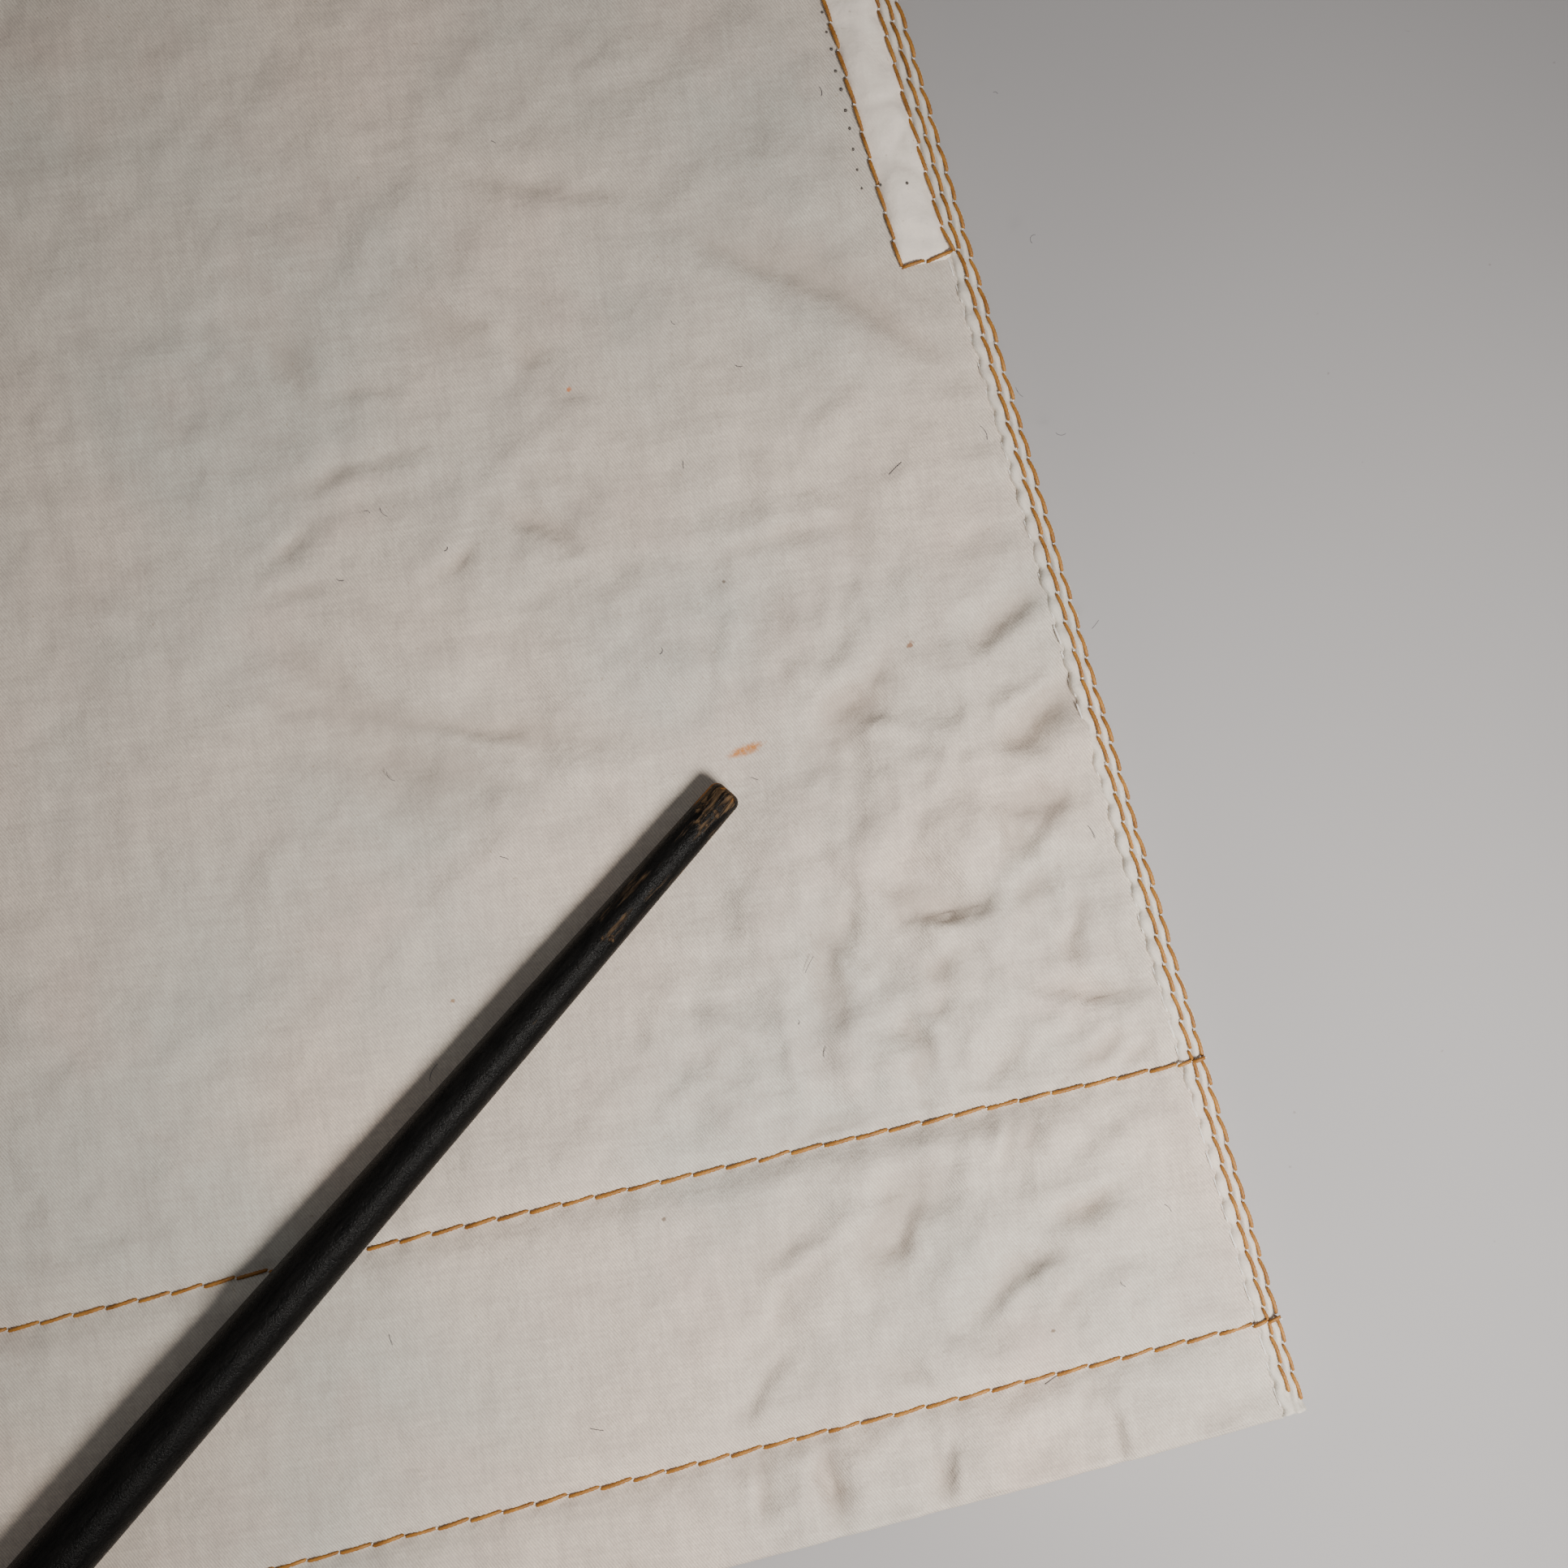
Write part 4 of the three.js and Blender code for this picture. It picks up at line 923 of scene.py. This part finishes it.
def pocket_bag(side):
    """The lining bag that hangs inside, with a round lower corner."""
    prefix = leg_name(side)
    (inner, low, floor), (_, high, _) = box_mm("left_pocket_bag")
    foot, head, radius = low - CROTCH, high - CROTCH, 45
    rows = []
    for y in np.linspace(foot + 0.5, head, 40):
        rise = max(foot + radius - y, 0)
        start = inner + radius - math.sqrt(max(radius**2 - rise**2, 0))
        x = np.linspace(start, float(outer_x(y)) - SEAM_WIDTH - 1, 26)
        rows.append(np.column_stack([x, np.full_like(x, y)]))
    plan = np.array(rows)
    ripple = 0.045 * noise(plan[..., 0] / 16, plan[..., 1] / 16, 71)
    plan[..., 0] *= side
    piece = pad_mesh(prefix + "pocket_bag_cloth", plan, floor + 0.6 + ripple, floor + 0.1, LINING,
                     [prefix + "pocket_bag"])


def back_pocket(side):
    """A patch pocket under the back, pointed at its foot."""
    prefix = leg_name(side)
    (lx, ly, _), (hx, hy, hz) = box_mm("left_back_pocket")
    foot, head, point = ly - CROTCH, hy - CROTCH, BACK_POCKET_POINT
    columns, rows = 33, 34
    x = np.repeat(np.linspace(lx, hx, columns)[None, :], rows, axis=0)
    low = foot + point * np.abs(2 * (x - lx) / (hx - lx) - 1)
    y = low + (head - low) * np.linspace(0, 1, rows)[:, None]
    plan = np.dstack([x * side, y])
    z = 0.02 + 0.1 * np.abs(noise(x / 14, y / 14, 81))
    piece = pad_mesh(prefix + "back_pocket_patch", plan, hz, z, CLOTH, [prefix + "back_pocket"])


# ------------------------------------------------------------------ waistband, loops and fly

def strip_plan(x0, x1, y0, y1, columns, rows):
    def spread(low, high, count):
        inner = np.linspace(low, high, count)
        return np.concatenate([[low, low + 0.35], inner[1:-1], [high - 0.35, high]])
    return np.stack(np.meshgrid(spread(x0, x1, columns), spread(y0, y1, rows)), axis=-1)


def band_relief(x, y, seed):
    """A waistband puffs between its two rows of stitches."""
    mid = (y - RISE) / (BAND_TOP - RISE)
    rows = bump(y - RISE - 2, 0.7) + bump(y - BAND_TOP + 2, 0.7)
    return 0.28 * np.sin(math.pi * np.clip(mid, 0, 1)) - 0.3 * rows + 0.35 * noise(x / 22, y / 18, seed)


def band_climb(x):
    """How much higher the left front band lies where it overlaps the right one."""
    return CLIMB_RISE * (1 - smooth(x, CLIMB_START, CLIMB_END))


def waistband_back():
    """The back length, whose ends turn up to meet the front ones at the sides."""
    plan = strip_plan(-WAIST_HALF, WAIST_HALF, RISE, BAND_TOP, 170, 26)
    taper = 1 - 4 / WAIST_HALF * (plan[..., 1] - RISE) / (BAND_TOP - RISE)
    plan[..., 0] *= taper
    x, y = plan[..., 0], plan[..., 1]
    reach = np.abs(x) / (WAIST_HALF * taper)
    lip = smooth(reach, 0.985, 0.995)
    top = 1.35 + lip * (FRONT_TOP + 0.75 - 1.35)
    bottom = 0.08 + 0.12 * np.abs(noise(x / 18, y / 14, 91))
    pad_mesh("waistband_back_cloth", plan, top, bottom, CLOTH, ["waistband_back"])


def waistband_front(name, node, seed):
    low, high = box_mm(node)
    plan = strip_plan(low[0], high[0], RISE, BAND_TOP, 130, 26)
    x, y = plan[..., 0], plan[..., 1]
    floor = low[2] + (band_climb(x) if node.endswith("left") else 0)
    pad_mesh(name, plan, floor + 1.25 + band_relief(x, y, seed), floor, CLOTH, [node])


def belt_loop(node, face_up):
    """A loop sewn at both ends; a front one bows up from the band, a back one lies under it."""
    low, high = box_mm(node)
    y0, y1 = low[1] - CROTCH, high[1] - CROTCH
    plan = strip_plan(low[0], high[0], y0, y1, 12, 22)
    x, y = plan[..., 0], plan[..., 1]
    share = (y - y0) / (y1 - y0)
    side_roll = 0.18 * bump(np.abs(x - (low[0] + high[0]) / 2) - 4.3, 0.8)
    if face_up:
        bow = np.sin(math.pi * share)
        top, bottom = low[2] + 0.75 + bow + side_roll, low[2] + 0.25 + bow * 0.95
    else:
        top, bottom = high[2], 0.02
    pad_mesh(node + "_cloth", plan, top, bottom, SEAM_CLOTH_PAINTED_LIGHT, [node])


def fly_shield():
    low, high = box_mm("fly_shield")
    plan = strip_plan(low[0], high[0], low[1] - CROTCH, high[1] - CROTCH, 20, 60)
    x, y = plan[..., 0], plan[..., 1]
    top = high[2] + 0.1 * noise(x / 9, y / 15, 95)
    piece = pad_mesh("fly_shield_cloth", plan, top, low[2], CLOTH, ["fly_shield"])


def zip_tape(side):
    node = "zip_tape_left" if side > 0 else "zip_tape_right"
    low, high = box_mm(node)
    plan = strip_plan(low[0], high[0], low[1] - CROTCH, high[1] - CROTCH, 12, 90)
    ribs = 0.05 * np.cos(2 * math.pi * (np.abs(plan[..., 0]) - 2.5) / 1.8)
    pad_mesh(node + "_cloth", plan, high[2] + ribs, low[2], LINING, [node])


# ------------------------------------------------------------------ stitches

RINGS_FINE, SIDES_FINE = 25, 12
RINGS_FAR, SIDES_FAR = 6, 5
STRANDS = 3  # the cords twisted into the thread
STRAND_TURNS = 2.3  # how often they turn along one stitch
NEEDLE_DIP = 0.16  # how far a stitch's ends go down into the cloth


def stitch_row(name, needle, fine, nodes=(), slant=0.16, bow=0.0, radius=0.215, lift=0.2, seed=0, up=1.0,
               gap=0.012, material=None):
    """Separate stitches between needle points, as one mesh; fine says which are seen closely."""
    rng = np.random.default_rng(seed)
    points, faces, specks, base = [], [], [], 0
    for i in range(len(needle) - 1):
        a, b = needle[i], needle[i + 1]
        close = bool(fine[i])
        rings, sides = (RINGS_FINE, SIDES_FINE) if close else (RINGS_FAR, SIDES_FAR)
        forward = (b - a) / np.linalg.norm(b - a)
        side = np.cross([0, 0, 1.0], forward)
        side /= np.linalg.norm(side)
        tilt = slant + rng.normal(0, 0.03)
        t = np.linspace(0, 1, rings)
        spine = a + (b - a) * (gap + (1 - 2 * gap) * t)[:, None]
        arch = np.sin(math.pi * t) ** 0.35
        sway = (2 * t - 1) * tilt + bow * np.sin(math.pi * t) + rng.normal(0, 0.02)
        spine = spine + side * sway[:, None]
        spine[:, 2] += up * (lift * arch + rng.normal(0, 0.015) - NEEDLE_DIP * (1 - arch))
        theta = np.linspace(0, 2 * math.pi, sides, endpoint=False)
        twist = rng.uniform(0, 6.28) + t * 2 * math.pi * STRAND_TURNS
        grow = radius * (1 + rng.normal(0, 0.05)) * (0.6 + 0.4 * np.sin(math.pi * t ** 0.8) ** 0.4)
        lobes = 1.05 - 0.16 * (1 + np.cos(STRANDS * (theta - twist[:, None]))) if close else 1
        r = grow[:, None] * lobes * np.ones(sides)
        sideways = side * (r * np.cos(theta))[..., None] * 1.12
        upward = np.array([0, 0, 1.0]) * (r * np.sin(theta))[..., None]
        points.append((spine[:, None, :] + sideways + upward).reshape(-1, 3))
        faces += tube_faces(rings, sides, True, base)
        base += rings * sides
        if close:
            specks.append(b + (*(rng.normal(0, 0.05, 2)), 0))
    add_mesh(name, np.concatenate(points), faces, material or THREAD, nodes)
    if specks and material is None:
        speck_mesh(name + "_bobbin", specks, rng, up)


def speck_mesh(name, centres, rng, up, material=None, sizes=(0.07, 0.14)):
    """Small flattened beads: the pale under-thread shows as a dot where the needle went in."""
    points, faces, base, rings, sides = [], [], 0, 4, 8
    theta, phi = np.linspace(0, 2 * math.pi, sides, endpoint=False), np.linspace(-1.2, 1.2, rings)
    for centre in centres:
        size = rng.uniform(*sizes)
        ball = np.array([[math.cos(p) * math.cos(t), math.cos(p) * math.sin(t), 0.7 * math.sin(p)]
                         for p in phi for t in theta])
        points.append(centre + ball * size + (0, 0, up * 0.1))
        faces += tube_faces(rings, sides, start=base)
        base += len(ball)
    add_mesh(name, np.concatenate(points), faces, material or BOBBIN)


def closely_seen(points):
    """Which stitches lie in the stretch that the camera sees."""
    return (points[:, 0] > CORNER[0] - 150) & (points[:, 1] < VIEW_HIGH)


def side_rows(side):
    """The two rows of a side seam, and on the left the fine stitches in its ditch."""
    prefix = leg_name(side)
    for inset, phase, part, height in ((INNER_ROW, 0.35, "inner", 3.5), (OUTER_ROW, 0.0, "edge", 3.42)):
        step = STITCH_SEAM * math.cos(LEAN)
        first = math.ceil((HEM_Y + 1) / step - phase)
        ys = (np.arange(first, int((RISE - 3) / step)) + phase) * step
        x, y = side_point(ys, inset)
        z = np.full_like(x, height)
        if part == "edge":
            x = x - 0.05
        points = np.stack([x * side, y, z], axis=-1)
        fine = closely_seen(points)
        stitch_row(f"{prefix}outseam_{part}_stitches", points, fine, [f"{prefix}outseam_{part}_stitching"],
                   slant=0.14 * side, bow=-0.12 * side, gap=0.015, seed=100 + int(inset * 10) + side)
    if side > 0:
        x, y = side_point(np.arange(HEM_Y + 1, VIEW_HIGH, STITCH_DITCH), SEAM_WIDTH + 0.1)
        points = np.stack([x, y, front_height(x - 0.15, y) + 0.02], axis=-1)
        stitch_row("left_ditch_stitches", points, np.ones(len(points), bool), slant=0.1, radius=0.11,
                   lift=0.08, gap=0.12, seed=150, material=BOBBIN)


def surface_point(x, y, left):
    """Height of the leg's front, seam band included."""
    inset = outer_x(y) - x
    insets, heights = np.array(SEAM_TOP[::-1]).T
    band = np.interp(inset, insets, heights)
    return np.where(inset > SEAM_WIDTH, front_height(x, y, left), band)


def hem_rows(side):
    """The two rows of a hem, which run on over the side seam."""
    prefix = leg_name(side)
    for depths, part in ((HEM_UPPER, "upper"), (HEM_LOWER, "lower")):
        edge_x = outer_x(HEM_Y + depths[0])
        first = math.ceil((LEG_GAP_HEM / 2 + 1) / STITCH_HEM)
        x = np.arange(first, edge_x / STITCH_HEM) * STITCH_HEM
        x = np.append(x[x < edge_x - 4.6], edge_x - [3.3, 1.6, 0.05])
        y = hem_line(x, depths)
        z = surface_point(x, y, side > 0) + 0.1
        z[-3:] = FRONT_TOP + 0.16
        points = np.stack([x * side, y, z], axis=-1)
        name = f"{prefix}hem_{part}"
        stitch_row(name + "_stitches", points, closely_seen(points), [name + "_stitching"],
                   slant=0.15 * side, radius=0.225, lift=0.24, gap=0.0, seed=200 + depths[0] + side)


def pocket_rows(side):
    """Up the strip's far side, across its foot and up its near side, as one row."""
    prefix = leg_name(side)
    count = int((RISE - POCKET_HEAD - 1 - POCKET_FOOT) / STITCH_POCKET)
    ys = POCKET_FOOT + 0.4 + STITCH_POCKET * np.arange(count)
    far_x, far_y = side_point(ys[::-1], WELT_INNER - 0.4)
    near_x, near_y = side_point(ys + 0.6, WELT_OUTER + 0.4)
    near_x[0] += 0.5
    mid_x, mid_y = side_point(np.array([POCKET_FOOT + 0.6]), (WELT_INNER + WELT_OUTER) / 2)
    x, y = np.concatenate([far_x, mid_x, near_x]), np.concatenate([far_y, mid_y, near_y])
    z = np.minimum(front_height(x, y, side > 0), FRONT_TOP + 0.25) + 0.22
    points = np.stack([x * side, y, z], axis=-1)
    stitch_row(f"{prefix}pocket_stitches", points, closely_seen(points), [f"{prefix}pocket_stitching"],
               slant=0.12 * side, seed=300 + side, radius=0.21, lift=0.3, gap=0.01)


def plain_row(name, nodes, path, height, seed, pitch=STITCH_SEAM, up=1.0):
    """A far-off row along a polyline in plan."""
    path = np.array(path, float)
    lengths = np.concatenate([[0], np.cumsum(np.hypot(*np.diff(path, axis=0).T))])
    at = np.arange(0, lengths[-1], pitch)
    x, y = np.interp(at, lengths, path[:, 0]), np.interp(at, lengths, path[:, 1])
    points = np.stack([x, y, height(x, y)], axis=-1)
    stitch_row(name, points, np.zeros(len(points), bool), nodes, seed=seed, up=up, slant=0.1)


def centre_rows():
    """Rows beside the centre seam, inside the legs and round the zip."""
    def on_front(x, y):
        return FRONT_TOP + zip_lift(x, y) + 0.12

    for side, part in ((1, "left"), (-1, "right")):
        path = [(side * 2, y) for y in np.linspace(3, 92, 10)]
        plain_row(f"rise_{part}_stitches", [f"rise_stitching_{part}"], path, on_front, 401 + side)
        leg = [(side * float(inner_x(y) + 1.4), y) for y in np.linspace(-INSEAM + 2, -2, 12)]
        plain_row(f"{part}_inseam_stitches", [f"{part}_inseam_stitching"], leg, on_front, 411 + side)
    edge, foot = ZIP_EDGE + 3, ZIP_FOOT - 10
    fly = [(-edge, RISE - 2), (-edge, foot + 6), (-edge + 1.5, foot + 1), (0, foot), (edge - 1.5, foot + 1),
           (edge, foot + 6), (edge, RISE - 2)]
    plain_row("zip_stitches", ["zip_stitching"], fly, on_front, 421)


def waistband_rows():
    """One row round each front length of the waistband."""
    end = WAIST_HALF - 4 - 1.3 - 4
    low, high = RISE + 2, BAND_TOP - 2

    def left_top(x, y):
        return 4.55 + band_climb(x)

    def right_top(x, y):
        return np.full_like(x, 4.55)

    for part, start, stop, height in (("left", -14, end, left_top), ("right", -end, -18, right_top)):
        path = [(x, low) for x in np.linspace(start, stop, 12)]
        path += [(x, high) for x in np.linspace(stop, start, 12)]
        path += [(start, low + 1.5)]
        plain_row(f"waistband_{part}_stitches", [f"waistband_stitching_{part}"], path, height, 431)


def back_rows():
    """Rows that only show from underneath: hems, back pockets and centre back."""
    def below(x, y):
        return np.full_like(x, 0.12)

    low, high = box_mm("left_back_pocket")
    foot, head = low[1] - CROTCH, high[1] - CROTCH
    for side, part in ((1, "left"), (-1, "right")):
        for depths, row in ((HEM_UPPER, "upper"), (HEM_LOWER, "lower")):
            xs = np.linspace(LEG_GAP_HEM / 2 + 1, float(outer_x(HEM_Y + depths[0])) - 0.6, 12)
            path = np.stack([side * xs, hem_line(xs, depths)], axis=-1)
            plain_row(f"{part}_hem_{row}_back_stitches", [], path, below, 501 + side, STITCH_HEM, up=-1)
        for inset in (1.5, 7):
            near, far, corner = low[0] + inset, high[0] - inset, foot + BACK_POCKET_POINT + inset * 0.6
            path = [(near, head - 1), (near, corner), ((near + far) / 2, foot + inset), (far, corner),
                    (far, head - 1)]
            path = [(side * x, y) for x, y in path]
            plain_row(f"{part}_back_pocket_stitches_{int(inset)}", [], path, below, 511 + side, up=-1)


def plain_material(name, dark, light, roughness=0.9):
    tree = Nodes(name)
    tree.link(tree.mix(tree.noise(5000, 1), dark, light), "Base Color")
    tree.set(Roughness=roughness)
    return tree.material


def needle_holes():
    """Where a first row beside the pocket was unpicked, and a cross row over the strip; each hole is a dark
    bead of painted shade.
    """
    rng = np.random.default_rng(7)
    top, foot = CORNER + [(-32.9, 163.5), (-30.8, 141.2)]
    plan = np.linspace(top, foot, 11) + rng.normal(0, 0.12, (11, 2))
    plan = np.concatenate([plan, CORNER + [(-28.9, 141.2), (-26.0, 141.0)]])
    points = np.column_stack([plan, front_height(plan[:, 0], plan[:, 1]) - 0.06])
    points[-2:, 2] += 0.75
    # Painted shade: the holes are dark beads standing in for the shade inside them.
    painted_hole_shade = plain_material("needle_hole_painted_shade", rgb(70, 66, 64), rgb(110, 104, 98))
    speck_mesh("needle_holes", points, rng, 1.0, painted_hole_shade, (0.16, 0.24))


LINT_HAIRS = 34


def lint():
    """A few fine dark hairs lying on the leg."""
    rng = np.random.default_rng(12)
    points, faces, base, rings, sides, thick = [], [], 0, 9, 5, 0.035
    theta = np.linspace(0, 2 * math.pi, sides, endpoint=False)
    for _ in range(LINT_HAIRS):
        start = CORNER + (-rng.uniform(12, 100), rng.uniform(6, 160))
        heading, bend = rng.uniform(0, 6.28), rng.normal(0, 1.6)
        length = rng.uniform(0.5, 2.2)
        angle = heading + bend * np.linspace(0, 1, rings)
        step = length / (rings - 1)
        x = start[0] + np.concatenate([[0], np.cumsum(np.cos(angle[:-1]) * step)])
        y = start[1] + np.concatenate([[0], np.cumsum(np.sin(angle[:-1]) * step)])
        spine = np.column_stack([x, y, front_height(x, y) + 0.07])
        normal = np.column_stack([-np.sin(angle), np.cos(angle), 0 * angle])
        around = normal[:, None] * np.cos(theta)[:, None] + [0, 0, 1] * np.sin(theta)[:, None]
        points.append((spine[:, None] + thick * around).reshape(-1, 3))
        faces += (grid_faces(rings, sides, True, closed=True) + base).tolist()
        base += rings * sides
    fibre = plain_material("lint", rgb(84, 84, 94), rgb(128, 122, 120))
    add_mesh("lint_hairs", np.concatenate(points), faces, fibre)


# ------------------------------------------------------------------ the stick

def rounded_end(distance, rounding):
    """How much the radius shrinks this near to an end, for an end rounded over the given length."""
    inside = np.clip(1 - distance / rounding, 0, 1)
    return rounding * (1 - np.sqrt(np.clip(1 - inside**2, 0, 1)))


def swell(t, start, middle, end):
    """A soft curve from one value to another, pulled towards the middle one."""
    return start * (1 - t) ** 2 + 2 * t * (1 - t) * middle + t * t * end


def stick():
    """The CAD stick's outline with close rings, so that its highlight runs smoothly."""
    tip, belly, thick, belly_at, rounding, sides = 1.87, 3.25, 4.0, 79, 1.0, 64
    turns = np.linspace(0, math.pi / 2, 7)
    near = rounding * (1 - np.cos(turns))
    far = STICK_LENGTH - rounding * (1 - np.sin(turns))
    ys = np.concatenate([near, np.linspace(rounding, 209.2, 140)[1:], far[1:]])
    straight = tip + (belly - tip) * ys / belly_at
    ts = np.linspace(0, 1, 40)
    swell_y = swell(ts, belly_at, belly_at + 0.4 * (STICK_LENGTH - belly_at), STICK_LENGTH - rounding)
    radius = np.where(ys < belly_at, straight, np.interp(ys, swell_y, swell(ts, belly, thick, thick)))
    radius = radius - rounded_end(ys, rounding) - rounded_end(STICK_LENGTH - ys, rounding)
    theta = np.linspace(0, 2 * math.pi, sides, endpoint=False)
    r = radius[:, None] * (1 + 0.012 * noise(ys / 16, 0.5, 601))[:, None]
    rings = np.dstack([r * np.cos(theta), np.repeat(ys[:, None], sides, axis=1), r * np.sin(theta)])
    faces = tube_faces(len(ys), sides, True)
    piece = new_object("lacquered_stick", rings.reshape(-1, 3) * MM, faces, LACQUER)
    slope = math.radians(0.8)
    along = Vector((math.cos(STICK_HEADING), math.sin(STICK_HEADING), math.tan(slope))).normalized()
    turn = Vector((0, 1, 0)).rotation_difference(along)
    place = Vector(world([*STICK_TIP, FRONT_TOP + 1.2 + tip]))
    piece.matrix_world = Matrix.LocRotScale(place, turn, None)
    fix(piece, ["stick"], "pointing_stick")


# ------------------------------------------------------------------ camera, light, table

VIEW_CENTRE = CORNER + (-48.4, 76.89)
VIEW_WIDTH = 174
VIEW_ROLL = math.radians(-7.7)


def camera():
    """Straight down on the left leg's outer hem corner, rolled a little."""
    data = bpy.data.cameras.new("camera")
    data.lens = 85
    data.sensor_width = 36
    distance = VIEW_WIDTH * data.lens / data.sensor_width
    target = world([*VIEW_CENTRE, FRONT_TOP])
    eye = bpy.data.objects.new("camera", data)
    eye.location = Vector(target) + Vector((0, 0, distance * MM))
    eye.rotation_euler = (0, 0, VIEW_ROLL)
    bpy.context.scene.collection.objects.link(eye)
    bpy.context.scene.camera = eye
    return Vector(target)


def area_light(name, target, away, height, heading, size, power, colour, spread=180):
    """A round lamp aimed at the target from this far away, this high, in this heading; metres and watts."""
    data = bpy.data.lights.new(name, "AREA")
    data.shape = "DISK"
    data.size = size
    data.energy = power
    data.color = colour
    data.spread = math.radians(spread)
    lamp = bpy.data.objects.new(name, data)
    offset = Vector((away * math.cos(heading), away * math.sin(heading), height))
    lamp.location = target + offset
    lamp.rotation_euler = (-offset).to_track_quat("-Z", "Y").to_euler()
    bpy.context.scene.collection.objects.link(lamp)


def surroundings(target):
    """A small warm lamp across the stick, a broad cool one, a grey sky and the table."""
    bright_side = target + Vector((0.043, -0.056, 0))
    across_stick = STICK_HEADING + math.pi / 2
    area_light("key", bright_side, 0.22, 0.41, across_stick, 0.17, 0.37, (1, 0.96, 0.91), spread=46)
    area_light("fill", target, 0.9, 1.6, math.radians(100), 1.6, 2.2, (0.97, 0.98, 1))
    sky = bpy.data.worlds.new("studio")
    sky.use_nodes = True
    sky.node_tree.nodes["Background"].inputs["Color"].default_value = (0.95, 0.945, 0.95, 1)
    sky.node_tree.nodes["Background"].inputs["Strength"].default_value = 0.16
    bpy.context.scene.world = sky
    reach = 3.0
    mesh = bpy.data.meshes.new("table")
    corners = [(-reach, -reach, 0), (reach, -reach, 0), (reach, reach, 0), (-reach, reach, 0)]
    mesh.from_pydata(corners, [], [(0, 1, 2, 3)])
    mesh.materials.append(table_top())
    table = bpy.data.objects.new("table", mesh)
    bpy.context.scene.collection.objects.link(table)


# ------------------------------------------------------------------ the scene

def dress_hardware():
    """The brass pieces keep their CAD shapes."""
    for node in ("waist_button", "button_tack", "zip_teeth_left", "zip_teeth_right", "zip_bottom_stop",
                 "zip_slider", "zip_pull_tab"):
        piece = bpy.data.objects[node]
        piece.data.materials.clear()
        piece.data.materials.append(BRASS)


def declare_cloths():
    """Builds lists of the narrow strips sewn to each side's cloths, and does nothing with them."""
    for side in ("left", "right"):
        strips = [side + "_side_seam", side + "_pocket_strip", f"zip_tape_{side}_cloth"]
        strips += ["front_centre_seam"] if side == "left" else []
        strips = [side + "_leg_seam"] + (["back_centre_seam"] if side == "left" else [])


target = camera()
surroundings(target)
for side in (1, -1):
    leg_front(side)
    leg_back(side)
    side_seam(side)
    inner_seam(side)
    pocket_strip(side)
    pocket_bag(side)
    back_pocket(side)
    zip_tape(side)
    side_rows(side)
    hem_rows(side)
    pocket_rows(side)
centre_seam("front_centre_seam", "front_rise_seam", 0.4, ZIP_FOOT - 0.4,
            lambda x, y: FRONT_TOP + zip_lift(x, y), lambda x, y: FRONT_TOP - 0.6 + zip_lift(x, y))
centre_seam("back_centre_seam", "back_rise_seam", 0.4, RISE - 0.4,
            lambda x, y: 1.2, lambda x, y: 0.05 + 0.25 * bump(np.abs(x) - 2, 0.5))
waistband_back()
waistband_front("waistband_right_cloth", "waistband_front_right", 92)
waistband_front("waistband_left_cloth", "waistband_front_left", 93)
for loop_node in ("left_front_belt_loop", "right_front_belt_loop"):
    belt_loop(loop_node, True)
for loop_node in ("left_back_belt_loop", "right_back_belt_loop", "centre_back_belt_loop"):
    belt_loop(loop_node, False)
fly_shield()
centre_rows()
waistband_rows()
back_rows()
needle_holes()
lint()
stick()
dress_hardware()
declare_cloths()
